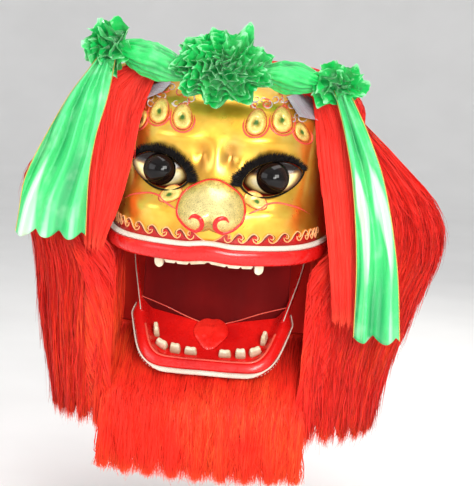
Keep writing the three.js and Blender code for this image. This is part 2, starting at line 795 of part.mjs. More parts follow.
// A stepped pin: a collar inside the arm, the pin through it and a seat against the jowl
function hingePin(side) {
  const profile = [
    { x: 167, r: HINGE.pin + 4 },
    { x: 174.6, r: HINGE.pin + 4 },
    { x: 174.6, r: HINGE.pin },
    { x: 184.6, r: HINGE.pin },
    { x: 184.6, r: HINGE.pin + 6 },
    { x: 198, r: HINGE.pin + 6 },
  ];
  const loops = profile.map(({ x, r }) =>
    Array.from({ length: 12 }, (_, i) => {
      const turn = (i / 12) * 2 * Math.PI;
      return [side * x, HINGE.y + r * Math.cos(turn), HINGE.z + r * Math.sin(turn)];
    }),
  );
  return loft(loops);
}

// The mane
const inMane = (column, z) => read(MANE_SECTIONS, "z", column, z);
const maneReach = (x, z) => inMane(x < 0 ? "left" : "right", z);

function manePoint(angle, z, swell = 0) {
  const half = maneReach(Math.sin(angle), z);
  const front = inMane("front", z);
  const back = inMane("back", z);
  const p = 2 / MANE_SQUARENESS;
  const depth = Math.cos(angle) >= 0 ? -front : back;
  return [
    (half + swell) * power(Math.sin(angle), p),
    (depth + Math.sign(depth) * swell) * Math.abs(Math.cos(angle)) ** p,
    z,
  ];
}

// How far forward the mane stands beside the face
function maneFrontY(x, z) {
  const share = clamp(Math.abs(x) / maneReach(x, z), 0, 1);
  return -inMane("front", z) * (1 - share ** MANE_SQUARENESS) ** (1 / MANE_SQUARENESS);
}

const frontEdgeAngle = (side, z) => {
  const share = clamp(inMane("edge", z) / maneReach(side, z), 0, 1);
  return Math.asin(share ** (MANE_SQUARENESS / 2));
};

// Locks: ridges that deepen towards the tips, whose ends are jagged
const lockRidge = (count, u, v) => (3 + 7 * v) * Math.abs(Math.cos(Math.PI * count * u));
const jagged = (count, u) => Math.abs(2 * ((count * u) % 1) - 1);

function manePanel({ from, to, top, bottom, locks, along, edges }) {
  const span = (u, z) => {
    const first = edges === "start" ? frontEdgeAngle(1, z) : radians(from);
    const last = edges === "end" ? 2 * Math.PI - frontEdgeAngle(-1, z) : radians(to);
    return mix(first, last, u);
  };
  const height = (u, v) => mix(top, bottom + 44 * (1 - jagged(locks, u)), v);
  const skin = (u, v) => {
    const z = height(u, v);
    return manePoint(span(u, z), z, lockRidge(locks, u, v));
  };
  const inner = (u, v) => {
    const z = height(u, v);
    return manePoint(span(u, z), z, -FUR_WALL * (1 - 0.55 * v));
  };
  return between(grid(skin, 2 * locks, along), grid(inner, 2 * locks, along));
}

const SEAM = 0.22;
const MANE_PANELS = {
  mane_right: { to: 112, top: -62, bottom: -700, locks: 8, along: 6, edges: "start" },
  mane_back: { from: 112 + SEAM, to: 248 - SEAM, top: -62, bottom: -720, locks: 9, along: 6 },
  mane_left: { from: 248, top: -62, bottom: -700, locks: 8, along: 6, edges: "end" },
};

// Fur over the crown: close to the shell above the forehead, and spreading over the top of the mane behind
const CROWN = { front: -8, back: -70, spread: 3.6, lift: 13, locks: 11 };

function crownFur() {
  const layer = (lift) => (u, v) => {
    const angle = (2 * u - 1) * Math.PI;
    const behind = smooth(38, 86, foldedDegrees(angle));
    const low = mix(CROWN.front, CROWN.back, behind);
    const rise = Math.sin((Math.PI / 2) * v);
    const z = mix(low, SHELL_TOP, rise);
    const near = shellSection(Math.min(z, SHELL_TOP - 0.01));
    const far = Math.sqrt(Math.max(0, 1 - rise ** 2.2));
    const grow = lift(u, v);
    const reach = (close, wide) => mix(close + grow, (wide + CROWN.spread) * far + grow, behind);
    const p = 2 / SHELL_SQUARENESS;
    const half = reach(near.half, maneReach(Math.sin(angle), CROWN.back));
    const depth = Math.cos(angle) >= 0 ? -reach(near.front, near.front) : reach(near.back, inMane("back", CROWN.back));
    if (v > 0.999) return [0, 0, SHELL_TOP + grow];
    const up = smooth(low, SHELL_TOP, z);
    return [half * power(Math.sin(angle), p), depth * Math.abs(Math.cos(angle)) ** p, z + grow * up];
  };
  const furred = (u, v) => (v > 0.999 ? CROWN.lift + 4 : CROWN.lift + lockRidge(CROWN.locks, u, 1 - v) * 0.6);
  const outer = grid(layer(furred), 2 * CROWN.locks, 4, true);
  return between(outer, grid(layer(() => 2.4), 2 * CROWN.locks, 4, true), true);
}

// The ruff below the jaw, which hangs from behind it
function throatRuff() {
  const locks = 8;
  const half = 191.2;
  const surface = (u, v) => {
    const side = 2 * u - 1;
    const z = mix(CURTAIN_Z - 1, -790 + 44 * (1 - jagged(locks, u)), v);
    const bulge = 30 * (1 - side * side);
    const forward = maneFrontY(half, z) - 4;
    const tuck = mix(-26, forward - bulge, smooth(0, 0.5, v));
    return [side * half, tuck - lockRidge(locks, u, v), z];
  };
  const back = (u, v) => {
    const [x, y, z] = surface(u, v);
    return [x, y + lockRidge(locks, u, v) + FUR_WALL * (1 - 0.5 * v), z];
  };
  return between(grid(surface, 2 * locks, 5), grid(back, 2 * locks, 5));
}

// A hanging ear: a furred flap in front of the mane, clear of the face
function earRow(label, z) {
  const at = (column) => read(EARS[label], "z", column, z);
  return { inner: at("inner"), outer: at("outer"), y: at("y") };
}

const clearOfHead = (x, z) => Math.min(faceY(x, z) - 22, maneFrontY(x, z) - 24);

// Where the inner edge of an ear is drawn back to its lining
const EAR_ROOT = { z: -44, tall: 36, tuck: 15 };

function earFlap(label) {
  const rows = EARS[label];
  const locks = 4;
  const [top, tip] = [rows[0].z, rows[rows.length - 1].z];
  const place = (u, v, ridge) => {
    const z = mix(top, tip + 30 * (1 - jagged(locks, u)) * smooth(0.6, 1, v), v);
    const row = earRow(label, z);
    const x = mix(row.inner, row.outer, u);
    const bulge = 10 * (1 - (2 * u - 1) ** 2);
    const tuck = EAR_ROOT.tuck * smooth(0.5, 0, u) * Math.exp(-(((z - EAR_ROOT.z) / EAR_ROOT.tall) ** 2));
    return [x, Math.min(row.y, clearOfHead(x, z)) + tuck - bulge - ridge, z];
  };
  const outer = (u, v) => place(u, v, lockRidge(locks, u, v) * 0.7);
  return between(grid(outer, 2 * locks, 7), grid((u, v) => place(u, v, -7), 2 * locks, 7));
}

// Braid along the outer edge of an ear
function earBraid(label) {
  const top = EARS[label][0].z;
  const steps = 6;
  const loops = [];
  for (let i = 0; i <= steps; i += 1) {
    const z = mix(top - 2, top - 92, i / steps);
    const row = earRow(label, z);
    const x = row.outer + Math.sign(row.outer) * 5;
    const y = Math.min(row.y, clearOfHead(row.outer, z)) - 2;
    loops.push([
      [x - 4, y - 5, z],
      [x + 4, y - 5, z],
      [x + 4, y + 4, z],
      [x - 4, y + 4, z],
    ]);
  }
  return loft(loops);
}

// A flat pad against the shell with straight edges between its corners
function earLining(corners) {
  const centre = [0, 1].map((k) => corners.reduce((s, c) => s + c[k], 0) / corners.length);
  const outline = (turn) => {
    const at = (turn / (2 * Math.PI)) * corners.length;
    const i = Math.floor(at + 1e-9);
    const [a, b] = [corners[i % corners.length], corners[(i + 1) % corners.length]];
    return [mix(a[0], b[0], at - i), mix(a[1], b[1], at - i)];
  };
  const step = 8;
  const slopeX = (restY(centre[0] + step, centre[1]) - restY(centre[0] - step, centre[1])) / (2 * step);
  const slopeZ = (restY(centre[0], centre[1] + step) - restY(centre[0], centre[1] - step)) / (2 * step);
  const plane = (x, z) => restY(...centre) + slopeX * (x - centre[0]) + slopeZ * (z - centre[1]) - 1.5;
  return seated(pad(outline, centre, (x, z) => plane(x, z) - 3.5, plane, corners.length, 1));
}

// A ruffled round of ribbon: a dome whose rim rises and falls in lobes
function ruffle({ x, y, z, wide, tall, lean = 0, turn = 0, lobes, backing }, deep, rings) {
  const petal = (u, v) => {
    const angle = u * 2 * Math.PI;
    const wave = Math.cos(lobes * angle + 2.4 * v) * smooth(0.15, 0.8, v);
    const inner = Math.cos((lobes - 3) * angle + 5 * v) * smooth(0.1, 0.4, v) * smooth(0.9, 0.5, v);
    const reach = v * (1 + 0.12 * wave);
    return [reach * wide * Math.sin(angle), -deep * (1 - v * v * 0.8) + 10 * wave + 8 * inner, reach * tall * Math.cos(angle)];
  };
  const rear = (u, v) => {
    const [px, , pz] = petal(u, v);
    return [px * 0.97, backing, pz * 0.97];
  };
  const around = lobes * 3;
  const geometry = between(grid(petal, around, rings, true), grid(rear, around, rings, true), true);
  geometry.rotateX(radians(-lean));
  geometry.rotateZ(radians(turn));
  geometry.translate(x, y, z);
  return geometry;
}

// A puff of ribbon gathered at both ends, with folds running from end to end
function puff({ from, to, thick, folds }) {
  const steps = 7;
  const around = folds * 4;
  const start = new THREE.Vector3(...from);
  const along = new THREE.Vector3(...to).sub(start);
  const out = new THREE.Vector3(0, -1, 0);
  const up = new THREE.Vector3().crossVectors(along, out).normalize();
  const loops = [];
  for (let k = 0; k <= steps; k += 1) {
    const t = k / steps;
    const swell = 0.34 + 0.66 * Math.sin(Math.PI * t) ** 0.7;
    const centre = start.clone().addScaledVector(along, t);
    loops.push(
      Array.from({ length: around }, (_, i) => {
        const turn = (i / around) * 2 * Math.PI;
        const reach = thick * swell * (1 + 0.1 * Math.cos(folds * turn + 1.5 * t));
        const p = centre.clone();
        p.addScaledVector(up, reach * Math.sin(turn)).addScaledVector(out, 0.72 * reach * Math.cos(turn));
        return p.toArray();
      }),
    );
  }
  return loft(loops);
}

// A hanging tail of ribbon, folded along its length, that rests in front of the ear and the mane
function ribbonTail(label) {
  const rows = TAILS[label];
  const [top, end] = [rows[0].z, rows[rows.length - 1].z];
  const folds = label === "left" ? 3 : 2;
  const surface = (u, v) => {
    const scallop = 14 * Math.abs(Math.sin(Math.PI * folds * u)) * smooth(0.85, 1, v);
    const z = mix(top, end + 12, v) - scallop;
    const at = (column) => read(rows, "z", column, clamp(z, end, top));
    const x = at("x") + (u - 0.5) * at("wide");
    const depth = mix(5, 11, v) * Math.cos(2 * Math.PI * folds * u);
    return [x, at("y") - 16 + depth, z];
  };
  return sheetBehind(surface, folds * 4, 5, SATIN);
}

// A piece without what lies inside its neighbours, each grown a little about its own middle
function trimmed(geometry, neighbours, grow = 1.4) {
  const left = neighbours.reduce((solid, neighbour) => {
    const tool = neighbour.clone();
    tool.computeBoundingBox();
    const middle = tool.boundingBox.getCenter(new THREE.Vector3());
    const size = tool.boundingBox.getSize(new THREE.Vector3());
    tool.translate(-middle.x, -middle.y, -middle.z);
    tool.scale(1 + grow / size.x, 1 + grow / size.y, 1 + grow / size.z);
    tool.translate(middle.x, middle.y, middle.z);
    return solid.subtract(solidOf(tool));
  }, solidOf(geometry));
  const bodies = left.decompose().sort((a, b) => b.volume() - a.volume());
  return geometryOf(bodies[0]);
}

function ribbon() {
  const crown = crownFur();
  const rosette = trimmed(seated(ruffle(ROSETTE, 44, 5)), [crown]);
  const pieces = { ribbon_rosette: rosette };
  ["left", "right"].forEach((label) => {
    const knot = ruffle(KNOTS[label], 22, 3);
    pieces[`ribbon_knot_${label}`] = knot;
    pieces[`ribbon_puff_${label}`] = trimmed(puff(PUFFS[label]), [rosette, knot, crown]);
    pieces[`ribbon_tail_${label}`] = trimmed(ribbonTail(label), [knot]);
  });
  return pieces;
}

const NODES = {
  face_shell: [faceShell, "gold"],
  nose: [nose, "noseGold"],
  upper_lip: [upperLip, "red"],
  lip_piping: [lipBead, "cream"],
  upper_incisors: [upperIncisors, "tooth"],
  mouth_lining: [mouthLining, "lining"],
  crown_fur: [crownFur, "fur"],
  throat_ruff: [throatRuff, "fur"],
  jaw_scoop: [jawScoop, "red"],
  jaw_piping: [jawBead, "cream"],
  tongue: [tongue, "red"],
};

const lionHead = new THREE.Group();

function add(name, geometry, colour) {
  const mesh = new THREE.Mesh(geometry, new THREE.MeshStandardMaterial(COLOURS[colour]));
  mesh.name = name;
  lionHead.add(mesh);
}

Object.entries(NODES).forEach(([name, [make, colour]]) => add(name, make(), colour));
Object.entries(ribbon()).forEach(([name, geometry]) => add(name, geometry, "satin"));
Object.entries(MANE_PANELS).forEach(([name, panel]) => add(name, manePanel(panel), "fur"));
Object.entries({ left: -1, right: 1 }).forEach(([label, side]) => {
  add(`eye_white_${label}`, eyeWhite(side), "cream");
  add(`iris_${label}`, iris(side), "black");
  add(`eyelid_${label}`, eyelid(side), "black");
  add(`upper_fang_${label}`, upperFang(side), "tooth");
  add(`hinge_pin_${label}`, hingePin(side), "steel");
  add(`ear_${label}`, earFlap(label), "fur");
  add(`ear_braid_${label}`, earBraid(label), "braid");
  add(`ear_lining_${label}`, earLining(EAR_LININGS[label]), "silver");
  BROW_DROPS.forEach((drop, i) => add(`brow_drop_${label}_${i + 1}`, browDrop(side, drop), "gold"));
  LOWER_TEETH.forEach((tooth, i) => add(`lower_tooth_${label}_${i + 1}`, lowerTooth(side, tooth), "tooth"));
});

export default lionHead;
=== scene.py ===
# %% [markdown]
# # A northern-style lion dance head
# The real head is a gilded paper shell on a cane frame, worn over the dancer's own head. Its jaw is a
# hinged scoop, long dyed hair hangs round the face, and a satin ribbon is tied over the brow. Each
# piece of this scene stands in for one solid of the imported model: it keeps that solid's form, from the
# same named sizes, and adds what only the eye needs, such as strands, folds and painted lines.

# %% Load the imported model
import math

import bmesh
import bpy
import numpy as np
from mathutils import Matrix, Vector


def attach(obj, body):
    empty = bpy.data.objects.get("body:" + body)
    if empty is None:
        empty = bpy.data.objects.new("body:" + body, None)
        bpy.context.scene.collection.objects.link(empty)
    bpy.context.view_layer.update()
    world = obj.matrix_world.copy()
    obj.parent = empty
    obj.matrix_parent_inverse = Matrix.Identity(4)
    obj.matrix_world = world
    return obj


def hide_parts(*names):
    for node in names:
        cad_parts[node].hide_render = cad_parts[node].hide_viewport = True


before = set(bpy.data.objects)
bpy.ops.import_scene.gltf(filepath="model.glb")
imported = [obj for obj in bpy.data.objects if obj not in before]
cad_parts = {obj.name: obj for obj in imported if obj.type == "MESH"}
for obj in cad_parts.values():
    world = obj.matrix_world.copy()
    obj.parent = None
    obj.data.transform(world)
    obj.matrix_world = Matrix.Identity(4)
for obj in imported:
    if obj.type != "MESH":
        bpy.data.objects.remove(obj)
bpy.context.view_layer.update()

# %% [markdown]
# ## Camera, floor and light
# A long lens from three metres keeps the head's proportions calm. The camera leans a little, as a
# camera in the hand does. The lamps are large soft boxes, because gilding and satin show their form by
# what they reflect, and the floor is pale so that it throws light back up under the chin.

# %% Camera
MM = 0.001
VIEW = {"azimuth": 5.0, "elevation": 8.0, "lean": 4.0, "distance": 3.2, "lens": 123.0}
AIM = np.array([0.0, -0.150, -0.238])
MIDDLE_OF_HEAD = {"right": 0.045, "down": 0.085}


def unit(v):
    return v / np.linalg.norm(v)


def camera_axes(back, lean):
    right = unit(np.cross([0.0, 0.0, 1.0], back))
    up = np.cross(back, right)
    a = math.radians(lean)
    return right * math.cos(a) + up * math.sin(a), up * math.cos(a) - right * math.sin(a)


azimuth, elevation = math.radians(VIEW["azimuth"]), math.radians(VIEW["elevation"])
towards_camera = np.array([
    math.sin(azimuth) * math.cos(elevation),
    -math.cos(azimuth) * math.cos(elevation),
    math.sin(elevation),
])
eye_point = AIM + VIEW["distance"] * towards_camera
level_right, level_up = camera_axes(towards_camera, 0)
look_at = AIM + MIDDLE_OF_HEAD["right"] * level_right - MIDDLE_OF_HEAD["down"] * level_up
back = unit(eye_point - look_at)
right, up = camera_axes(back, VIEW["lean"])

camera = bpy.data.objects.new("camera", bpy.data.cameras.new("camera"))
bpy.context.scene.collection.objects.link(camera)
camera.data.lens = VIEW["lens"]
camera.matrix_world = Matrix([[*column, 0] for column in (right, up, back)] + [[0, 0, 0, 1]]).transposed()
camera.location = eye_point
bpy.context.scene.camera = camera
print("camera at", np.round(eye_point, 3), "looks at", np.round(look_at, 3))

# %% Soft boxes and sky
SOFT_BOXES = {
    "key": {"at": (1.25, -2.9, 0.85), "size": 1.2, "watts": 58, "colour": (1.0, 0.98, 0.94)},
    "front": {"at": (0.75, -3.3, 0.12), "size": 0.9, "watts": 34, "colour": (1.0, 0.99, 0.97)},
    "fill": {"at": (-2.2, -2.1, 0.5), "size": 1.8, "watts": 22, "colour": (0.96, 0.98, 1.0)},
    "top": {"at": (0.2, -0.3, 2.0), "size": 1.4, "watts": 26, "colour": (1.0, 1.0, 1.0)},
    "rim": {"at": (0.6, 2.2, 1.0), "size": 1.2, "watts": 24, "colour": (1.0, 0.97, 0.92)},
}
LAMPS_AIM = Vector((0, -0.1, -0.25))
SKY_STRENGTH = 0.66
for label, box in SOFT_BOXES.items():
    lamp = bpy.data.lights.new(label, "AREA")
    lamp.size = box["size"]
    lamp.energy = box["watts"]
    lamp.color = box["colour"]
    holder = bpy.data.objects.new(label, lamp)
    bpy.context.scene.collection.objects.link(holder)
    holder.location = box["at"]
    aim = LAMPS_AIM - holder.location
    holder.rotation_euler = aim.to_track_quat("-Z", "Y").to_euler()

sky = bpy.data.worlds.new("studio_sky")
sky.use_nodes = True
sky.node_tree.nodes["Background"].inputs["Color"].default_value = (1.0, 1.0, 1.0, 1)
sky.node_tree.nodes["Background"].inputs["Strength"].default_value = SKY_STRENGTH
bpy.context.scene.world = sky
bpy.context.scene.view_settings.view_transform = "Standard"
print("soft boxes:", list(SOFT_BOXES))

# %% [markdown]
# ## Small tools of the workshop
# The forms come from tables of measured sections that are read smoothly, the same tables as the packed
# solids. They are worked out for whole arrays of points at once, so a surface of ten thousand points
# takes no longer to write than one of ten. Sizes are in millimetres until a mesh is made.

# %% Sections, read smoothly
def smooth(a, b, v):
    t = np.clip((np.asarray(v, float) - a) / (b - a), 0, 1)
    return t * t * (3 - 2 * t)


def mix(a, b, t):
    return a + (b - a) * t


def full_turn(count):
    return np.linspace(0, 2 * math.pi, count, endpoint=False)


def swells(t, rise, fall, least):
    """How thick a drawn line is along itself: full between, thin at its two ends."""
    return smooth(0, rise, t) * smooth(1, fall, t) + least


def power(v, p):
    return np.sign(v) * np.abs(v) ** p


def table(columns, *rows):
    ordered = sorted(rows, key=lambda row: row[0])
    return {name: np.array(values, float) for name, values in zip(columns.split(), zip(*ordered))}


def read(rows, column, at):
    """A column of a table at any value of its first column, smoothly between its rows."""
    key, value = next(iter(rows.values())), rows[column]
    slope = np.empty(len(key))
    slope[1:-1] = (value[2:] - value[:-2]) / (key[2:] - key[:-2])
    slope[0] = (value[1] - value[0]) / (key[1] - key[0])
    slope[-1] = (value[-1] - value[-2]) / (key[-1] - key[-2])
    v = np.clip(at, key[0], key[-1])
    i = np.clip(np.searchsorted(key, v, side="right") - 1, 0, len(key) - 2)
    h = key[i + 1] - key[i]
    t = (v - key[i]) / h
    near = (2 * t**3 - 3 * t**2 + 1) * value[i] + (t**3 - 2 * t**2 + t) * h * slope[i]
    return near + (3 * t**2 - 2 * t**3) * value[i + 1] + (t**3 - t**2) * h * slope[i + 1]


# %% Soft random hills, for folds and locks that no two of are alike
CLOUD_PRIMES = (73856093, 19349663, 83492791)
CLOUD_STIRS = ((13, 1274126177), (15, 668265263))
LOW_BITS = 0x7FFFFFFF


def cloud(points, size, seed=0):
    """Smooth noise between -1 and 1 with hills of that size, at an array of points."""
    p = np.asarray(points, float) / size + 31.7 * (seed + 1)
    low = np.floor(p).astype(np.int64)
    t = p - low
    t = t * t * (3 - 2 * t)
    total = np.zeros(p.shape[:-1])
    for corner in np.ndindex(*(2,) * p.shape[-1]):
        cell = low + np.array(corner)
        key = np.full(p.shape[:-1], seed * 7919 + 12345, np.int64)
        for axis in range(p.shape[-1]):
            key = (key ^ (cell[..., axis] * CLOUD_PRIMES[axis])) & LOW_BITS
        for shift, factor in CLOUD_STIRS:
            key = ((key ^ (key >> shift)) * factor) & LOW_BITS
        share = np.prod(np.where(corner, t, 1 - t), axis=-1)
        total += share * ((key >> 7 & 0xFFFF) / 32767.5 - 1)
    return total


# %% Meshes from arrays of points
def grid(surface, across, along, wrap=False):
    """Points of a surface over two shares from 0 to 1, as an array (across, along, 3)."""
    u = np.linspace(0, 1, across + 1)
    u = u[:-1] if wrap else u
    u, v = np.meshgrid(u, np.linspace(0, 1, along + 1), indexing="ij")
    return surface(u, v)


def quads(rows, columns, wrap=False, start=0):
    i = np.arange(rows if wrap else rows - 1)[:, None]
    j = np.arange(columns - 1)[None]
    a = i * columns + j
    b = (i + 1) % rows * columns + j
    return np.stack([a, b, b + 1, a + 1], -1).reshape(-1, 4) + start


def build(name, points, faces, finish, marks=None, weld=True, crease=None):
    """A mesh object from points in millimetres. marks are shares that the finish reads at each point."""
    points = np.asarray(points, float).reshape(-1, 3)
    groups = faces if isinstance(faces, list) else [faces]
    sides = np.concatenate([np.full(len(group), group.shape[1]) for group in groups])
    corners = np.concatenate([group.ravel() for group in groups])
    mesh = bpy.data.meshes.new(name)
    mesh.vertices.add(len(points))
    mesh.vertices.foreach_set("co", (points * MM).ravel())
    mesh.loops.add(len(corners))
    mesh.loops.foreach_set("vertex_index", corners.astype(np.int32))
    mesh.polygons.add(len(sides))
    mesh.polygons.foreach_set("loop_start", (np.cumsum(sides) - sides).astype(np.int32))
    mesh.update(calc_edges=True)
    for label, values in (marks or {}).items():
        stored = mesh.attributes.new(label, "FLOAT", "POINT")
        stored.data.foreach_set("value", np.asarray(values, float).ravel())
    if weld:
        body = bmesh.new()
        body.from_mesh(mesh)
        bmesh.ops.remove_doubles(body, verts=body.verts, dist=1e-6)
        bmesh.ops.recalc_face_normals(body, faces=body.faces)
        body.to_mesh(mesh)
        body.free()
    mesh.validate()
    mesh.shade_smooth()
    if crease:
        mesh.set_sharp_from_angle(angle=math.radians(crease))
    mesh.materials.append(finish)
    piece = bpy.data.objects.new(name, mesh)
    bpy.context.scene.collection.objects.link(piece)
    return piece


def triangles(piece):
    return int(sum(len(face.vertices) - 2 for face in piece.data.polygons))


def cut_out(piece, knife, overlaps=False):
    """Takes the knife's volume out of a piece, and then the knife away."""
    cutting = piece.modifiers.new("cut", "BOOLEAN")
    cutting.operation, cutting.solver, cutting.object = "DIFFERENCE", "EXACT", knife
    cutting.use_self = overlaps
    evaluated = piece.evaluated_get(bpy.context.evaluated_depsgraph_get())
    piece.data = bpy.data.meshes.new_from_object(evaluated)
    piece.modifiers.clear()
    bpy.data.objects.remove(knife)


def dress(piece, body, slot, *nodes):
    """Lets a piece ride on its body and stand for its solids. The slot is not used."""
    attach(piece, body)
    if nodes:
        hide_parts(*nodes)
    return piece


# %% Solids between two sheets, and rings drawn along a path
def between(front, behind, wrap=False):
    """Points and faces of the solid between two grids that meet row for row."""
    rows, columns = front.shape[:2]
    points = np.concatenate([front.reshape(-1, 3), behind.reshape(-1, 3)])
    half = rows * columns
    faces = [quads(rows, columns, wrap), quads(rows, columns, wrap, half)[:, ::-1]]
    i = np.arange(rows if wrap else rows - 1)
    ahead = (i + 1) % rows
    for j in (0, columns - 1):
        faces.append(np.stack([i * columns + j, i * columns + j + half, ahead * columns + j + half,
                               ahead * columns + j], -1))
    if not wrap:
        j = np.arange(columns - 1)
        for k in (0, rows - 1):
            faces.append(np.stack([k * columns + j, k * columns + j + 1, k * columns + j + 1 + half,
                                   k * columns + j + half], -1))
    return points, np.concatenate(faces)


def square_to(points, wrap=False):
    """Directions square to a grid of points."""
    padded = np.concatenate([points[-1:], points, points[:1]]) if wrap else points
    across = np.gradient(padded, axis=0)
    across = across[1:-1] if wrap else across
    along = np.gradient(points, axis=1)
    out = np.cross(across, along)
    return out / np.maximum(np.linalg.norm(out, axis=-1, keepdims=True), 1e-9)


def lofted(rings):
    """Points and faces of a flat-ended solid through closed rings, an array (rings, around, 3)."""
    count, around = rings.shape[:2]
    points = np.concatenate([rings.reshape(-1, 3), rings[[0, -1]].mean(axis=1)])
    i = np.arange(around)
    ahead = (i + 1) % around
    first = np.stack([np.full(around, count * around), ahead, i], -1)
    last = np.stack([np.full(around, count * around + 1), i, ahead], -1)
    last[:, 1:] += (count - 1) * around
    k = np.arange(count - 1)[:, None] * around
    sides = np.stack([k + i, k + ahead, k + ahead + around, k + i + around], -1).reshape(-1, 4)
    return points, [sides, first, last]


def softened(loop, times=2):
    """A closed loop of corners with its corners cut, again and again."""
    for _ in range(times):
        ahead = np.roll(loop, -1, axis=-2)
        cut = np.stack([0.75 * loop + 0.25 * ahead, 0.25 * loop + 0.75 * ahead], axis=-2)
        loop = cut.reshape(*loop.shape[:-2], -1, loop.shape[-1])
    return loop


def through(corners, count):
    """A smooth open curve through corners, at even steps along it."""
    corners = np.asarray(corners, float)
    padded = np.concatenate([2 * corners[:1] - corners[1:2], corners, 2 * corners[-1:] - corners[-2:-1]])
    t = np.linspace(0, len(corners) - 1 - 1e-9, max(40, 12 * len(corners)))
    i = t.astype(int)
    f = (t - i)[:, None]
    a, b, c, d = (padded[i + k] for k in range(4))
    fine = 0.5 * (2 * b + (c - a) * f + (2 * a - 5 * b + 4 * c - d) * f**2 + (3 * b - a - 3 * c + d) * f**3)
    length = np.concatenate([[0], np.cumsum(np.linalg.norm(np.diff(fine, axis=0), axis=1))])
    at = np.linspace(0, length[-1], count)
    return np.stack([np.interp(at, length, fine[:, k]) for k in range(fine.shape[1])], -1)


class Pile:
    """Many small shapes that become one mesh."""

    def __init__(self):
        self.points, self.faces, self.marks, self.count = [], [], {}, 0

    def add(self, points, faces, **marks):
        points = np.asarray(points, float).reshape(-1, 3)
        self.points.append(points)
        for group in faces if isinstance(faces, list) else [faces]:
            self.faces.append(group + self.count)
        for label, value in marks.items():
            self.marks.setdefault(label, []).append(np.broadcast_to(value, len(points)))
        self.count += len(points)

    def build(self, name, finish, **options):
        marks = {label: np.concatenate(values) for label, values in self.marks.items()}
        return build(name, np.concatenate(self.points), self.faces, finish, marks=marks, **options)


FRONT = (0, -1, 0)


def rod(path, wide, proud, out=FRONT, sides=8):
    """Points and faces of a round or flattened rod along a path, whose flat side faces out."""
    path = np.asarray(path, float)
    along = np.gradient(path, axis=0)
    along /= np.maximum(np.linalg.norm(along, axis=1, keepdims=True), 1e-9)
    aside = np.cross(along, out)
    aside /= np.maximum(np.linalg.norm(aside, axis=1, keepdims=True), 1e-9)
    outward = np.cross(aside, along)
    turn = full_turn(sides)
    wide = np.broadcast_to(wide, len(path))[:, None, None]
    proud = np.broadcast_to(proud, len(path))[:, None, None]
    ring = path[:, None] + wide * aside[:, None] * np.cos(turn)[None, :, None]
    return lofted(ring + proud * outward[:, None] * np.sin(turn)[None, :, None])

# %% [markdown]
# ## Finishes
# Each finish is a Principled shader whose colour, roughness and bump come from noise, waves and marks
# stored on the mesh. Nothing is an image, so a finish looks the same from any side and at any distance.
# The colours are those of the real materials: gilding over paper, boiled-sugar red lacquer, yarn dyed red,
# and thin green satin. Some marks also paint shade and highlights into them.

# %% Node helpers
def node(finish, kind, inputs=None, **settings):
    made = finish.node_tree.nodes.new("ShaderNode" + kind)
    for key, value in settings.items():
        setattr(made, key, value)
    for key, value in (inputs or {}).items():
        if isinstance(value, bpy.types.NodeSocket):
            finish.node_tree.links.new(value, made.inputs[key])
        else:
            made.inputs[key].default_value = value
    return made


def set_sockets(finish, **sockets):
    shader = finish.node_tree.nodes["Principled BSDF"]
    for key, value in sockets.items():
        shader.inputs[key.replace("_", " ")].default_value = value


def start_finish(name, **sockets):
    finish = bpy.data.materials.new(name)
    finish.use_nodes = True
    set_sockets(finish, **sockets)
    return finish


def into(finish, label, output):
    finish.node_tree.links.new(output, finish.node_tree.nodes["Principled BSDF"].inputs[label])


def grain(finish, scale, detail=3.0, rough=0.5, stretch=(1, 1, 1)):
    place = node(finish, "TexCoord").outputs["Object"]
    turned = node(finish, "Mapping", {"Vector": place, "Scale": stretch}).outputs["Vector"]
    inputs = {"Vector": turned, "Scale": scale, "Detail": detail, "Roughness": rough}
    return node(finish, "TexNoise", inputs).outputs["Fac"]


def weave(finish, scale, direction="DIAGONAL", distortion=0.0):
    place = node(finish, "TexCoord").outputs["Object"]
    inputs = {"Vector": place, "Scale": scale, "Distortion": distortion, "Detail": 1.0}
    return node(finish, "TexWave", inputs, bands_direction=direction).outputs["Fac"]


def mark(finish, label):
    return node(finish, "Attribute", attribute_name=label).outputs["Fac"]


def ramp(finish, share, stops):
    made = node(finish, "ValToRGB", {"Fac": share})
    while len(made.color_ramp.elements) < len(stops):
        made.color_ramp.elements.new(0.5)
    for element, (position, colour) in zip(made.color_ramp.elements, stops):
        element.position = position
        element.color = (*colour, 1) if hasattr(colour, "__len__") else (colour, colour, colour, 1)
    return made.outputs["Color"]


def blend_of(finish, share, a, b, kind="MIX"):
    made = node(finish, "Mix", data_type="RGBA", blend_type=kind)
    for socket, value in zip((made.inputs[0], made.inputs[6], made.inputs[7]), (share, a, b)):
        if isinstance(value, bpy.types.NodeSocket):
            finish.node_tree.links.new(value, socket)
        else:
            socket.default_value = (*value, 1) if hasattr(value, "__len__") else value
    return made.outputs[2]


def sums(finish, kind, a, b=0.0):
    made = node(finish, "Math", operation=kind)
    for socket, value in zip(made.inputs, (a, b)):
        if isinstance(value, bpy.types.NodeSocket):
            finish.node_tree.links.new(value, socket)
        else:
            socket.default_value = value
    return made.outputs[0]


def raised(finish, height, depth_mm, strength=1.0):
    inputs = {"Height": height, "Distance": depth_mm * MM, "Strength": strength}
    into(finish, "Normal", node(finish, "Bump", inputs).outputs["Normal"])


def patchy_shine(finish, scale, detail, least, most, where=(0.3, 0.7)):
    """Roughness that differs from place to place, as on anything that has been handled."""
    share = grain(finish, scale, detail)
    into(finish, "Roughness", ramp(finish, share, list(zip(where, (least, most)))))


def thread_shine(finish, threads, sunk, proud):
    """Roughness of cloth: dull between its threads, shinier on top of them."""
    into(finish, "Roughness", ramp(finish, threads, [(0.0, sunk), (1.0, proud)]))


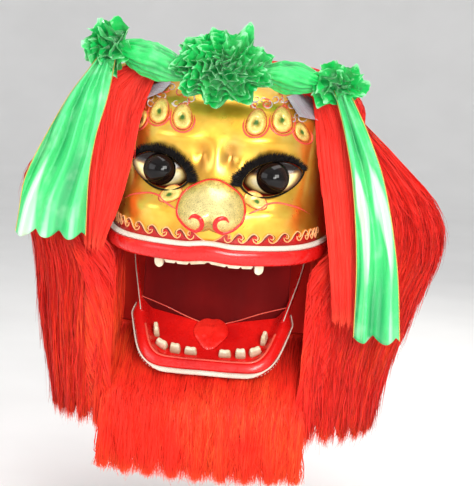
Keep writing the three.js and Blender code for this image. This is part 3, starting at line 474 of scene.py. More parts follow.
# %% Gilding, lacquer and painted parts
def gilding():
    finish = start_finish("gilded_lacquer", Metallic=0.86, Coat_Weight=0.4, Coat_Roughness=0.18)
    gold = ramp(finish, grain(finish, 22, 4), [
        (0.3, (0.92, 0.46, 0.035)), (0.55, (1.0, 0.60, 0.075)), (0.75, (1.0, 0.70, 0.15)),
    ])
    # Painted shade: the shade mark turns the gold brown in the hollows of the face.
    brown = blend_of(finish, mark(finish, "shade"), gold, (0.40, 0.12, 0.012))
    soot = ramp(finish, grain(finish, 260, 5, 0.7), [(0.68, 0.0), (0.84, 0.25)])
    into(finish, "Base Color", blend_of(finish, soot, brown, (0.40, 0.18, 0.03)))
    patchy_shine(finish, 55, 4, 0.27, 0.38)
    raised(finish, grain(finish, 420, 3), 0.25, 0.5)
    return finish


def lacquer(name, dark, bright, wear=(0.85, 0.10, 0.06)):
    finish = start_finish(name, Coat_Weight=0.4, Coat_Roughness=0.10, Specular_IOR_Level=0.35)
    body = ramp(finish, grain(finish, 14, 3), [(0.3, dark), (0.7, bright)])
    scuffs = ramp(finish, grain(finish, 130, 6, 0.75), [(0.70, 0.0), (0.84, 0.3)])
    into(finish, "Base Color", blend_of(finish, scuffs, body, wear))
    patchy_shine(finish, 70, 4, 0.20, 0.42, (0.3, 0.75))
    raised(finish, grain(finish, 160, 3), 0.35, 0.5)
    return finish


def enamel(name, stops, roughness, metal=0.0):
    """Paint in rings: a mark from the middle of a piece to its rim picks the colour."""
    finish = start_finish(name, Metallic=metal, Coat_Weight=0.3)
    colour = ramp(finish, mark(finish, "ring"), stops)
    cloudy = ramp(finish, grain(finish, 90, 4, 0.6), [(0.3, 0.72), (0.65, 1.0)])
    into(finish, "Base Color", blend_of(finish, 1.0, colour, cloudy, "MULTIPLY"))
    patchy_shine(finish, 150, 3, *roughness)
    raised(finish, grain(finish, 600, 3), 0.15, 0.5)
    return finish


def tooth_paint():
    finish = start_finish("tooth_paint", Coat_Weight=0.35)
    cream = ramp(finish, grain(finish, 60, 4), [(0.3, (0.72, 0.60, 0.38)), (0.7, (0.93, 0.86, 0.66))])
    # Painted shade: each tooth darkens towards its root, where it goes under the lip and into the gum.
    root = ramp(finish, mark(finish, "root"), [(0.0, 0.0), (0.55, 0.15), (1.0, 0.9)])
    into(finish, "Base Color", blend_of(finish, root, cream, (0.40, 0.22, 0.10)))
    patchy_shine(finish, 240, 3, 0.28, 0.5)
    raised(finish, grain(finish, 300, 4), 0.3, 0.5)
    return finish


def corded_cotton():
    """Cotton cord wrapped in cream tape: a fine slant of threads, and patches of dust."""
    finish = start_finish("corded_cotton", Sheen_Weight=0.25)
    threads = weave(finish, 330, "DIAGONAL", 0.6)
    colour = ramp(finish, threads, [(0.1, (0.62, 0.50, 0.38)), (0.6, (0.93, 0.87, 0.76))])
    dust = ramp(finish, grain(finish, 34, 4), [(0.45, 0.0), (0.75, 0.42)])
    into(finish, "Base Color", blend_of(finish, dust, colour, (0.66, 0.36, 0.26)))
    thread_shine(finish, threads, 0.75, 0.55)
    raised(finish, threads, 0.5, 0.7)
    return finish


def steel():
    finish = start_finish("turned_steel", Metallic=0.95)
    rings = grain(finish, 90, 5, 0.6, (12, 1, 1))
    into(finish, "Base Color", ramp(finish, rings, [(0.3, (0.28, 0.27, 0.26)), (0.7, (0.62, 0.61, 0.60))]))
    into(finish, "Roughness", ramp(finish, rings, [(0.3, 0.28), (0.7, 0.5)]))
    raised(finish, rings, 0.1, 0.5)
    return finish


GOLD = gilding()
RED_LACQUER = lacquer("sugar_red_lacquer", (0.56, 0.005, 0.005), (0.82, 0.012, 0.009))
DARK_FIELD = lacquer("painted_field", (0.34, 0.004, 0.003), (0.56, 0.010, 0.007), (0.6, 0.06, 0.04))
SHADOW_LINE = lacquer("shadow_line", (0.10, 0.008, 0.003), (0.17, 0.018, 0.006), (0.3, 0.06, 0.02))
PEACH_LINE = lacquer("raised_line", (0.86, 0.34, 0.12), (1.0, 0.52, 0.22), (1.0, 0.72, 0.42))
ROSE_LINE = lacquer("rose_line", (0.62, 0.05, 0.035), (0.84, 0.13, 0.08))
TONGUE_RED = lacquer("tongue_red", (0.78, 0.012, 0.008), (1.0, 0.035, 0.022))
PIPING = corded_cotton()
TOOTH = tooth_paint()
STEEL = steel()
print("painted finishes:", [m.name for m in (GOLD, RED_LACQUER, DARK_FIELD, PEACH_LINE, PIPING)])

# %% Hair, satin and cloth
def hair(name, root, body, tip, glow=None):
    """Dyed yarn in its full colour along it and lighter at the tip, with painted shade where it goes into the
    mass.
    """
    finish = start_finish(name, Specular_IOR_Level=0.16, Sheen_Weight=0.04)
    along = ramp(finish, mark(finish, "along"), [(0.0, root), (0.2, body), (0.8, body), (1.0, tip)])
    tone = ramp(finish, mark(finish, "tone"), [(0.0, 0.84), (0.4, 0.96), (1.0, 1.0)])
    toned = blend_of(finish, 1.0, along, tone, "MULTIPLY")
    if glow:
        patches = ramp(finish, grain(finish, 6.5, 2), [(0.45, 0.0), (0.7, 0.8)])
        warm = sums(finish, "MULTIPLY", patches, mark(finish, "tone"))
        toned = blend_of(finish, warm, toned, glow)
    into(finish, "Base Color", toned)
    into(finish, "Roughness", ramp(finish, mark(finish, "tone"), [(0.0, 0.6), (1.0, 0.45)]))
    raised(finish, grain(finish, 500, 2, 0.5, (1, 1, 0.05)), 0.3, 0.4)
    return finish


def satin(name, deep, body, light):
    """Thin polyester satin: fine threads along it, with painted shade in its folds and painted highlights on
    its crests.
    """
    sockets = {"Sheen_Weight": 0.3, "Sheen_Roughness": 0.3, "Specular_IOR_Level": 0.65, "Coat_Weight": 0.12}
    finish = start_finish(name, **sockets)
    crest = ramp(finish, mark(finish, "crest"), [(0.0, deep), (0.45, body), (0.8, body), (1.0, light)])
    patches = ramp(finish, grain(finish, 26, 5), [(0.5, 0.0), (0.8, 0.3)])
    into(finish, "Base Color", blend_of(finish, patches, crest, light))
    threads = weave(finish, 900, "Z", 0.3)
    thread_shine(finish, threads, 0.27, 0.38)
    creases = sums(finish, "ADD", sums(finish, "MULTIPLY", threads, 0.12), grain(finish, 110, 5, 0.6))
    raised(finish, creases, 0.9, 0.6)
    return finish


def brocade():
    """Silver brocade: shiny float threads over a grey ground, with loose coloured sprigs."""
    finish = start_finish("silver_brocade", Metallic=0.25, Sheen_Weight=0.2)
    warp, weft = weave(finish, 520, "X"), weave(finish, 520, "Z")
    woven = sums(finish, "MULTIPLY", warp, weft)
    ground = ramp(finish, woven, [(0.0, (0.40, 0.38, 0.46)), (0.6, (0.84, 0.82, 0.88))])
    swirl = weave(finish, 21, "DIAGONAL", 9.0)
    grey = ramp(finish, swirl, [(0.38, 0.0), (0.5, 1.0), (0.62, 0.0)])
    lined = blend_of(finish, grey, ground, (0.16, 0.15, 0.20))
    sprig = ramp(finish, grain(finish, 48, 1), [(0.52, 0.0), (0.56, 1.0)])
    curl = ramp(finish, weave(finish, 60, "X", 6.0), [(0.35, 0.0), (0.5, 1.0), (0.65, 0.0)])
    sprigs = sums(finish, "MULTIPLY", sprig, curl)
    into(finish, "Base Color", blend_of(finish, sprigs, lined, (0.55, 0.04, 0.16)))
    thread_shine(finish, warp, 0.55, 0.3)
    raised(finish, sums(finish, "ADD", woven, swirl), 0.4, 0.6)
    return finish


def lining_cloth():
    finish = start_finish("mouth_lining_cloth", Specular_IOR_Level=0.15, Sheen_Weight=0.05)
    warp, weft = weave(finish, 420, "X"), weave(finish, 420, "Z")
    # Painted light and shade: dark deep in the middle of the mouth, and brighter at its sides, near its front
    # edge and low on the curtain.
    painted_mouth_light = ramp(finish, mark(finish, "painted_mouth_light"), [
        (0.0, (0.20, 0.003, 0.003)), (0.55, (0.34, 0.004, 0.004)), (1.0, (0.90, 0.016, 0.012)),
    ])
    stains = ramp(finish, grain(finish, 9, 3), [(0.3, 0.7), (0.7, 1.0)])
    into(finish, "Base Color", blend_of(finish, 1.0, painted_mouth_light, stains, "MULTIPLY"))
    thread_shine(finish, warp, 0.9, 0.7)
    raised(finish, sums(finish, "ADD", warp, weft), 0.35, 0.6)
    return finish


def gold_braid():
    finish = start_finish("twisted_gold_braid", Metallic=0.35, Sheen_Weight=0.2)
    threads = weave(finish, 600, "DIAGONAL", 1.0)
    into(finish, "Base Color", ramp(finish, threads, [(0.1, (0.50, 0.27, 0.03)), (0.6, (0.98, 0.72, 0.16))]))
    thread_shine(finish, threads, 0.6, 0.35)
    raised(finish, threads, 0.4, 0.7)
    return finish


MANE_HAIR = hair("mane_hair", (0.36, 0.006, 0.004), (0.80, 0.020, 0.012), (0.92, 0.075, 0.025),
                 (0.96, 0.09, 0.02))
DARK_TIPPED_HAIR = hair("dark_tipped_hair", (0.36, 0.006, 0.004), (0.74, 0.018, 0.012),
                        (0.16, 0.010, 0.006))
RUFF_HAIR = hair("ruff_hair", (0.60, 0.012, 0.008), (0.90, 0.026, 0.012), (0.96, 0.08, 0.022),
                 (0.98, 0.12, 0.025))
EAR_HAIR = hair("ear_hair", (0.66, 0.014, 0.010), (0.95, 0.034, 0.022), (0.98, 0.08, 0.04),
                (1.0, 0.09, 0.05))
LASH_HAIR = hair("lash_hair", (0.004, 0.003, 0.003), (0.006, 0.004, 0.004), (0.02, 0.012, 0.010))
SATIN = satin("green_satin", (0.0, 0.22, 0.045), (0.008, 0.58, 0.11), (0.38, 0.95, 0.50))
# The tails' satin is a paler copy of the green satin, which paints light onto them.
PALE_SATIN = satin("pale_satin", (0.01, 0.34, 0.10), (0.06, 0.66, 0.20), (0.62, 0.96, 0.68))
BROCADE = brocade()
MOUTH_CLOTH = lining_cloth()
BRAID = gold_braid()
print("cloth finishes:", [m.name for m in (MANE_HAIR, SATIN, PALE_SATIN, BROCADE, MOUTH_CLOTH, BRAID)])

# %% [markdown]
# ## The gilded shell
# The real shell is paper pasted over a cane frame or a mould, sanded, painted and gilded. Its swellings
# carry all the expression, so they come from a short table of smooth bumps. The eye holes are cut with
# a boolean, as the maker cuts them with a knife after the paper has dried.

# %% Sections and swellings of the shell, as in the solid
SHOULDER_Z, SHELL_TOP, SHELL_WALL = -105, 4, 4
SHELL_SQUARENESS = 2.5
LIP_Z, JOWL_Z, NAPE_Z = -320, -366, -150
SHELL = table(
    "z half front back",
    (-370, 204, 238, 178),
    (-325, 212, 250, 190),
    (-290, 210, 248, 196),
    (-250, 206, 238, 198),
    (-200, 206, 224, 198),
    (-150, 206, 215, 195),
    (-105, 203, 212, 190),
)
# The middle across and up, the half width and half height, and the rise of each swelling.
SWELLINGS = {
    "brow ridge": (92, -118, 66, 19, 13),
    "eye socket": (104, -182, 50, 27, -13),
    "frown dent": (27, -150, 13, 22, -9),
    "frown bump": (0, -152, 11, 24, 6),
    "cheek": (124, -252, 54, 24, 24),
    "muzzle": (0, -258, 58, 46, 18),
    "lower lid": (78, -214, 22, 9, 5),
}


def shell_section(z):
    t = np.clip((z - SHOULDER_Z) / (SHELL_TOP - SHOULDER_Z), 0, 1)
    dome = np.sqrt(np.maximum(0, 1 - t**2.2))
    at = np.minimum(z, SHOULDER_Z)
    return [read(SHELL, column, at) * dome for column in ("half", "front", "back")]


def swelling(x, z, half):
    total = 0
    for bx, bz, wide, tall, height in SWELLINGS.values():
        for side in (1,) if bx == 0 else (1, -1):
            total = total + height * np.exp(-(((x - side * bx) / wide) ** 2 + ((z - bz) / tall) ** 2))
    return total * (1 - smooth(0.76, 1, np.abs(x) / half))


def face_y(x, z):
    """How far forward the face stands at a place seen from the front."""
    half, front, _ = shell_section(z)
    half = np.maximum(half, 1)
    share = np.clip(np.abs(x) / half, 0, 1)
    return -front * (1 - share**SHELL_SQUARENESS) ** (1 / SHELL_SQUARENESS) - swelling(x, z, half)


def shell_point(angle, z):
    half, _, rear = shell_section(z)
    p = 2 / SHELL_SQUARENESS
    x = half * power(np.sin(angle), p)
    y = np.where(np.cos(angle) >= 0, face_y(x, z), rear * np.abs(np.cos(angle)) ** p)
    return np.stack([x, y, z + 0 * x], -1)


def folded_degrees(angle):
    return np.abs(np.degrees(np.arctan2(np.sin(angle), np.cos(angle))))


def lower_edge(angle):
    turn = folded_degrees(angle)
    bow = 5 * np.exp(-((turn / 5) ** 2))
    level = LIP_Z + bow + 6 * smooth(40, 88, turn)
    return mix(mix(level, JOWL_Z, smooth(92, 106, turn)), NAPE_Z, smooth(122, 150, turn))


def shell_skin(u, v):
    s = 2 * u - 1
    angle = math.pi * s * (0.6 + 0.4 * s * s)
    low = lower_edge(angle)
    knee = 0.64
    climb = np.clip((v - knee) / (1 - knee), 0, 1)
    upper = SHOULDER_Z + (SHELL_TOP - SHOULDER_Z) * np.sin(math.pi / 2 * climb)
    return shell_point(angle, np.where(v < knee, mix(low, SHOULDER_Z, v / knee), upper))


# %% Eye holes and the shell itself
EYE = {"x": 107, "z": -187, "half": 56, "rise": 31, "tilt": 14, "iris": 30}


def eye_outline(side, turn, aside=0.0, top=0.0, bottom=0.0):
    sine = np.sin(turn)
    a = (EYE["half"] + aside) * np.cos(turn)
    b = (EYE["rise"] + np.where(sine > 0, top, bottom)) * power(sine, 1.3)
    tilt = math.radians(EYE["tilt"])
    x = EYE["x"] + a * math.cos(tilt) - b * math.sin(tilt)
    return side * x, EYE["z"] + a * math.sin(tilt) + b * math.cos(tilt)


# The middle across and up, the half width and half height, and the strength of each spot of painted shade in
# the face's hollows: between the brows, in the corners of the eyes, over and under the cheeks and at the
# temples.
PAINTED_SHADE_SPOTS = (
    (26, -156, 14, 28, 0.8), (48, -200, 20, 24, 0.5), (150, -150, 34, 14, 0.25), (0, -205, 30, 30, 0.2),
    (60, -290, 60, 12, 0.3), (196, -230, 16, 70, 0.6), (60, -128, 50, 10, 0.2),
)
SHELL_MIDDLE = np.array([0, 0, -180])
KNIFE = {"front": -262, "back": -120}


def painted_shade_in_hollows(points):
    """Painted shade: the gold goes brown in the hollows of the face, a little cloudy."""
    x, z = np.abs(points[..., 0]), points[..., 2]
    total = sum(strength * np.exp(-(((x - sx) / wide) ** 2 + ((z - sz) / tall) ** 2))
                for sx, sz, wide, tall, strength in PAINTED_SHADE_SPOTS)
    return np.clip(total + 0.12 * cloud(points, 26, 3), 0, 1)


outer = grid(shell_skin, 204, 60, wrap=True)
square = square_to(outer, wrap=True)
outwards = np.sign(np.sum(square * (outer - SHELL_MIDDLE), axis=-1, keepdims=True))
inner = outer - SHELL_WALL * square * outwards
inner[:, -1] = (0, 0, SHELL_TOP - SHELL_WALL)
points, faces = between(outer, inner, wrap=True)
shell = build("gilded_shell", points, faces, GOLD, {"shade": painted_shade_in_hollows(points)})

for side in (-1, 1):
    x, z = eye_outline(side, full_turn(72))
    slices = np.linspace(KNIFE["front"], KNIFE["back"], 3)
    rings = np.stack([np.stack([x, np.full_like(x, y), z], -1) for y in slices])
    cut_out(shell, build("eye_knife", *lofted(rings), GOLD))
dress(shell, "head", "gold_lacquer", "face_shell")
print("shell:", triangles(shell), "triangles")

# %% [markdown]
# ## Running waves over the lip
# Above the upper lip a maker paints a dark red field and draws a running wave along its top with a
# raised line, squeezed from a paper cone like icing. The wave is an old border pattern that painters
# and masons share. Here the field is a thin skin over the gold, and the line is a flattened rod that
# follows the face.

# %% Lengths along the lip
LIP = {"inside": 8, "proud": 14, "deep": 30, "reach": 84}
lip_degrees = np.linspace(0, 90, 361)
lip_points = shell_point(np.radians(lip_degrees), LIP_Z)[:, :2]
lip_lengths = np.concatenate([[0], np.cumsum(np.linalg.norm(np.diff(lip_points, axis=0), axis=1))])
print("half of the lip is", round(float(lip_lengths[-1])), "mm long")


def at_length(s):
    """The angle round the shell at a length along the lip from its middle."""
    return np.radians(np.sign(s) * np.interp(np.abs(s), lip_lengths, lip_degrees))


def on_face(s, z, lift):
    """A point at a length along the lip and a height, lifted off the face, and the way out there."""
    s, z = np.broadcast_arrays(np.asarray(s, float), np.asarray(z, float))
    angle = at_length(s)
    here = shell_point(angle, z)
    out = np.cross(shell_point(angle, z + 1) - here, shell_point(angle + 1e-3, z) - here)
    out /= np.linalg.norm(out, axis=-1, keepdims=True)
    out = out * np.where(out[..., 1:2] > 0, -1, 1)
    return here + np.asarray(lift)[..., None] * out, out


# %% The wave: one stroke, repeated, wider towards the cheeks and narrower at the corners
WAVE_STROKE = np.array([
    (0.02, 0.52), (0.08, 0.20), (0.30, 0.02), (0.56, 0.26), (0.80, 0.74), (1.05, 1.0), (1.31, 0.80),
    (1.38, 0.50), (1.26, 0.36), (1.13, 0.50),
])
WAVE_WIDTHS = (26, 28, 31, 33, 33, 26, 20, 17, 15)
WAVE_START, WAVE_FOOT, WAVE_HEIGHT = 28, -307, 18.5
VALLEY = [(0, -309.5), (10, -305), (20, -299), (30, -291), (38, -291), (41, -296), (37, -299)]
LINE = {"half": 1.25, "proud": 1.4, "lift": 1.2}
# The shadow is the same stroke without its foot, moved inwards by these shares of a wave.
SHADOW = {"from": 12, "shift": np.array([0.075, -0.115]), "half": 1.3, "proud": 0.9, "lift": 0.5}


def wave_foot(s):
    return WAVE_FOOT + 3.5 * smooth(90, 200, np.abs(s))


def wave_path(shape, side, edge, width, lift):
    """A stroke on the face, from its shares of a wave's width and height."""
    s = side * (edge + width * shape[:, 0])
    return on_face(s, wave_foot(s) + WAVE_HEIGHT * shape[:, 1], lift)


stroke = through(WAVE_STROKE, 40)
t = np.linspace(0, 1, len(stroke))
taper = 1.0 - 0.5 * smooth(0.88, 1.0, t) - 0.4 * smooth(0.1, 0, t)
hidden = stroke[SHADOW["from"]:] + SHADOW["shift"] * smooth(1.0, 0.75, t[SHADOW["from"]:])[:, None]
hidden_taper = swells(np.linspace(0, 1, len(hidden)), 0.3, 0.8, 0.2)
crest = through(WAVE_STROKE[2:7], 12)
waves, shadows = Pile(), Pile()
field_top = []
for side in (-1, 1):
    left_edge = WAVE_START
    for width in WAVE_WIDTHS:
        path, out = wave_path(stroke, side, left_edge, width, LINE["lift"])
        waves.add(*rod(path, LINE["half"] * taper, LINE["proud"] * taper, out))
        path, out = wave_path(hidden, side, left_edge, width, SHADOW["lift"])
        shadows.add(*rod(path, LINE["half"] * SHADOW["half"] * hidden_taper,
                         SHADOW["proud"] * hidden_taper, out))
        field_top += [(side * (left_edge + width * a), wave_foot(0) + WAVE_HEIGHT * b) for a, b in crest]
        left_edge += width
valley = through([(-s, z) for s, z in VALLEY[:0:-1]] + VALLEY, 90)
path, out = on_face(valley[:, 0], valley[:, 1], LINE["lift"])
waves.add(*rod(path, LINE["half"], LINE["proud"], out))
field_top += [tuple(p) for p in valley[8:-8]]
dress(waves.build("wave_line", PEACH_LINE), "head", "gold_lacquer")
dress(shadows.build("wave_shadow", SHADOW_LINE), "head", "red_lacquer")
print("waves:", 2 * len(WAVE_WIDTHS), "strokes along", round(left_edge), "mm of each side")

# %% The dark red field below the wave
field_top = np.array(sorted(field_top))


def field(u, v):
    s = (2 * u - 1) * left_edge
    top = np.interp(s, field_top[:, 0], field_top[:, 1])
    return on_face(s, mix(lower_edge(at_length(s)) + 1, top, v), 0.4)[0]


rows = grid(field, 700, 4)
dress(build("red_field", rows, quads(*rows.shape[:2]), DARK_FIELD), "head", "red_lacquer")

# %% Rose-red lines over the cheeks, from the nose to the temples
CHEEK_LINE = [(66, -253), (76, -248), (92, -240), (104, -232), (122, -230), (142, -234), (163, -242),
              (184, -258)]


def over_face(x, z, lift):
    """Places seen from the front at x and z, that far in front of the face."""
    return np.stack([x, face_y(x, z) - lift, z], -1)


cheeks = Pile()
taper = swells(np.linspace(0, 1, 60), 0.1, 0.7, 0.15)
for side in (-1, 1):
    line = through([(side * x, z) for x, z in CHEEK_LINE], len(taper))
    cheeks.add(*rod(over_face(line[:, 0], line[:, 1], 0.8), 1.7 * taper, 1.3 * taper))
dress(cheeks.build("cheek_lines", ROSE_LINE), "head", "red_lacquer")

# %% [markdown]
# ## Nose
# The nose is a separate cushion of paper glued on, painted pale gold and stippled with a fine brush. A
# red line runs round it and swells into two curls over the nostrils. The stipple is a joined mesh of
# tiny raised dots, because at this size a painted dot still catches the light.

# %% Nose cushion
NOSE_Z = -238
NOSE = table("degrees reach", (0, 47), (42, 49), (80, 62), (112, 68), (146, 60), (180, 46))


def nose_outline(turn):
    reach = read(NOSE, "reach", folded_degrees(turn))
    return reach * np.sin(turn), NOSE_Z + reach * np.cos(turn)


def nose_share(x, z):
    """0 in the middle of the nose and 1 at its outline."""
    turn = np.arctan2(x, z - NOSE_Z)
    return np.hypot(x, z - NOSE_Z) / read(NOSE, "reach", folded_degrees(turn))


def nose_y(x, z):
    v = np.clip(nose_share(x, z), 0, 1)
    lobes = 5 * np.exp(-(((np.abs(x) - 30) / 20) ** 2 + ((z + 262) / 18) ** 2)) * (1 - v**4)
    dent = 5 * np.exp(-((x / 9) ** 2 + ((z + 275) / 14) ** 2)) * (1 - v**4)
    return face_y(x, z) - 8 - 24 * (1 - v**2.6) ** 0.75 - lobes + dent


def nose_skin(u, v):
    v = np.sin(math.pi / 2 * v)
    ex, ez = nose_outline(2 * math.pi * u)
    x, z = v * ex, mix(NOSE_Z, ez, v)
    return np.stack([x, nose_y(x, z), z], -1)


def backed(front, sunk):
    """Points and faces of a solid whose back follows the face, that far behind it."""
    behind = front.copy()
    behind[..., 1] = face_y(front[..., 0], front[..., 2]) + sunk
    return between(front, behind, wrap=True)


NOSE_PAINT = enamel("stippled_pale_gold", [
    (0.0, (0.93, 0.77, 0.32)), (0.55, (0.86, 0.64, 0.20)), (1.0, (0.62, 0.36, 0.07)),
], (0.2, 0.34), metal=0.5)
points, faces = backed(grid(nose_skin, 96, 20, wrap=True), 1.2)
x, z = points[:, 0], points[:, 2]
# Painted shade: the nose darkens towards its outline and under its tip.
under = np.exp(-((x / 14) ** 2 + ((z + 274) / 16) ** 2))
shadow = np.clip(nose_share(x, z) ** 3 + 0.9 * under, 0, 1)
dress(build("nose_cushion", points, faces, NOSE_PAINT, {"ring": shadow}), "head", "nose_gold", "nose")

# %% The red line and its two curls
def on_nose(x, z, lift=0.6):
    return np.stack([x, nose_y(x, z) - lift, z], -1)


NOSTRIL = {"x": 27.5, "z": -270}
LINE_INWARD = 0.965
LINE_END = 118
# The turn in degrees and the distance from the nostril of each point of a curl.
CURL = ((-116, 16.5), (-148, 16), (-180, 15.5), (-215, 15), (-250, 14), (-285, 13), (-325, 11.5))


def nose_line(degrees):
    """Places of the red line, a little inside the nose's outline."""
    x, z = nose_outline(np.radians(degrees))
    return x * LINE_INWARD, NOSE_Z + (z - NOSE_Z) * LINE_INWARD


curls = Pile()
turn = np.linspace(-LINE_END, LINE_END, 90)
swell = 1.7 + 1.3 * smooth(80, LINE_END, np.abs(turn))
curls.add(*rod(on_nose(*nose_line(turn)), swell, 1.5, FRONT, 10))
t = np.linspace(0, 1, 90)
thick = 3.0 + 1.4 * smooth(0.2, 0.55, t) - 3.0 * smooth(0.85, 1.0, t)
for side in (-1, 1):
    lobe = list(zip(*nose_line([LINE_END, 134, 150])))
    spiral = [(NOSTRIL["x"] + r * math.cos(math.radians(a)), NOSTRIL["z"] + r * math.sin(math.radians(a)))
              for a, r in CURL]
    line = through([(side * px, pz) for px, pz in lobe + spiral], len(t))
    curls.add(*rod(on_nose(line[:, 0], line[:, 1]), thick, 2.2, FRONT, 10))
dress(curls.build("nose_curls", RED_LACQUER), "head", "red_lacquer")

# %% Stipple: dots in arcs round the nostrils, denser towards the bottom
STIPPLE = start_finish("stipple_paint", Coat_Weight=0.2)
specks = grain(STIPPLE, 400)
into(STIPPLE, "Base Color", ramp(STIPPLE, specks, [(0.3, (0.07, 0.075, 0.02)), (0.7, (0.22, 0.20, 0.06))]))
patchy_shine(STIPPLE, 200, 3.0, 0.4, 0.6)
ARCS = {"middle": -262, "from": 6, "to": 92, "apart": 4.6, "dots_for_each_mm": 1.9, "uneven": 0.5}
CURL_CLEARANCE = (9.5, 21.5)
dice = np.random.default_rng(11)
dots = Pile()
ring = full_turn(6)
i = np.arange(6)
fan = np.stack([i, (i + 1) % 6, np.full(6, 6)], -1)
for arc in np.arange(ARCS["from"], ARCS["to"], ARCS["apart"]):
    count = int(arc * ARCS["dots_for_each_mm"])
    for a in np.linspace(-0.5 * math.pi, 1.5 * math.pi, count, endpoint=False) + dice.uniform(0, 1):
        x = arc * math.cos(a) + dice.normal(0, ARCS["uneven"])
        z = ARCS["middle"] + arc * math.sin(a) + dice.normal(0, ARCS["uneven"])
        near_curl = math.hypot(abs(x) - NOSTRIL["x"], z - NOSTRIL["z"])
        outside = nose_share(x, z) > 0.90
        on_curl = CURL_CLEARANCE[0] < near_curl < CURL_CLEARANCE[1] and z < -252
        if outside or on_curl or dice.uniform() > 0.95 - 0.45 * smooth(-250, -200, z):
            continue
        radius = dice.uniform(0.45, 0.85)
        rim = on_nose(x + radius * np.cos(ring), z + radius * np.sin(ring), 0.05)
        top = on_nose(np.array([x]), np.array([z]), 0.35)
        dots.add(np.concatenate([rim, top]), fan)
dress(dots.build("nose_stipple", STIPPLE, weld=False), "head", "nose_gold")
print("stipple dots:", dots.count // 7)

# %% [markdown]
# ## Eyes
# Each eye is a painted ball set into its hole, with a glossy black iris that a dab of lacquer makes look wet.
# The upper lid is a strip of black fur whose hairs fan out like lashes, longest towards the nose. Where the
# ball meets the gold, a black line is drawn, and the top of the ball is painted dark as the lid's shadow.

# %% Ball and iris
def eye_dome(side, x, z):
    across = (x - side * EYE["x"]) / 66
    up_share = (z - EYE["z"]) / 42
    rest = face_y(np.array(side * EYE["x"]), np.array(EYE["z"]))
    return rest + 6 - 18 * np.maximum(0, 1 - across**2 - up_share**2)


def radial(outline, centre, depth, around, rings):
    """A grid from a middle out to an outline that is seen from the front."""
    def skin(u, v):
        ex, ez = outline(2 * math.pi * u)
        x, z = mix(centre[0], ex, v), mix(centre[1], ez, v)
        return np.stack([x, depth(x, z, v), z], -1)
    return grid(skin, around, rings, wrap=True)


BALL_PAINT = enamel("ivory_ball", [
    (0.0, (0.80, 0.66, 0.36)), (0.62, (0.92, 0.83, 0.56)), (0.78, (0.84, 0.66, 0.26)),
    (0.9, (0.22, 0.10, 0.03)), (1.0, (0.012, 0.006, 0.005)),
], (0.12, 0.25))
IRIS_PAINT = enamel("black_iris", [
    (0.0, (0.004, 0.003, 0.003)), (0.60, (0.006, 0.004, 0.004)), (0.70, (0.014, 0.006, 0.004)),
    (0.86, (0.024, 0.010, 0.006)), (0.94, (0.004, 0.003, 0.003)), (1.0, (0.002, 0.002, 0.002)),
], (0.03, 0.07))
set_sockets(IRIS_PAINT, Coat_Weight=0.55, Coat_Roughness=0.03, Specular_IOR_Level=0.0)
set_sockets(BALL_PAINT, Coat_Weight=0.3, Coat_Roughness=0.03, Specular_IOR_Level=0.3)
BALL_WALL = 5
IRIS = {"radius": EYE["iris"] + 1.2, "bulge": 11, "lift": 0.6, "aside": 1}


def rim_share(front):
    """0 in the middle of a round grid and 1 at its rim, for the points of both its sheets."""
    share = np.linspace(0, 1, front.shape[1])
    return np.tile(np.broadcast_to(share, front.shape[:2]).ravel(), 2)


def eye_ball(label, side):
    centre = (side * EYE["x"], EYE["z"])
    front = radial(lambda turn: eye_outline(side, turn, 0.3, 0.3, 0.3), centre,
                   lambda x, z, v: eye_dome(side, x, z), 72, 12)
    points, faces = between(front, front + [0, BALL_WALL, 0], wrap=True)
    x, z = side * points[:, 0] - EYE["x"], points[:, 2] - EYE["z"]
    # Painted shadow: the top of the ball, under the lid, is darkened to black.
    shadow_under_lid = smooth(-4, 15, z - 0.1 * x + 3 * cloud(points, 7, 8))
    ring = np.maximum(rim_share(front), 0.62 + 0.38 * shadow_under_lid)
    dress(build(f"eye_ball_{label}", points, faces, BALL_PAINT, {"ring": ring}), "head", "eye_cream",
          f"eye_white_{label}")


def eye_iris(label, side):
    middle = (side * (EYE["x"] + IRIS["aside"]), EYE["z"] + IRIS["aside"])

    def rim(turn):
        return middle[0] + IRIS["radius"] * np.sin(turn), middle[1] + IRIS["radius"] * np.cos(turn)

    def depth(x, z, v):
        return eye_dome(side, x, z) - IRIS["lift"] - IRIS["bulge"] * (1 - v**2) ** 0.8
    front = radial(rim, middle, depth, 72, 18)
    behind = front.copy()
    behind[..., 1] = eye_dome(side, front[..., 0], front[..., 2]) + IRIS["lift"]
    points, faces = between(front, behind, wrap=True)
    dress(build(f"eye_iris_{label}", points, faces, IRIS_PAINT, {"ring": rim_share(front)}), "head",
          "eye_black", f"iris_{label}")


for label, side in (("left", -1), ("right", 1)):
    eye_ball(label, side)
    eye_iris(label, side)
print("eyes made, each iris", round(2 * IRIS["radius"]), "mm across")

# %% Strands: flat tapered strips combed along a surface
TIP_WIDTH = 0.15


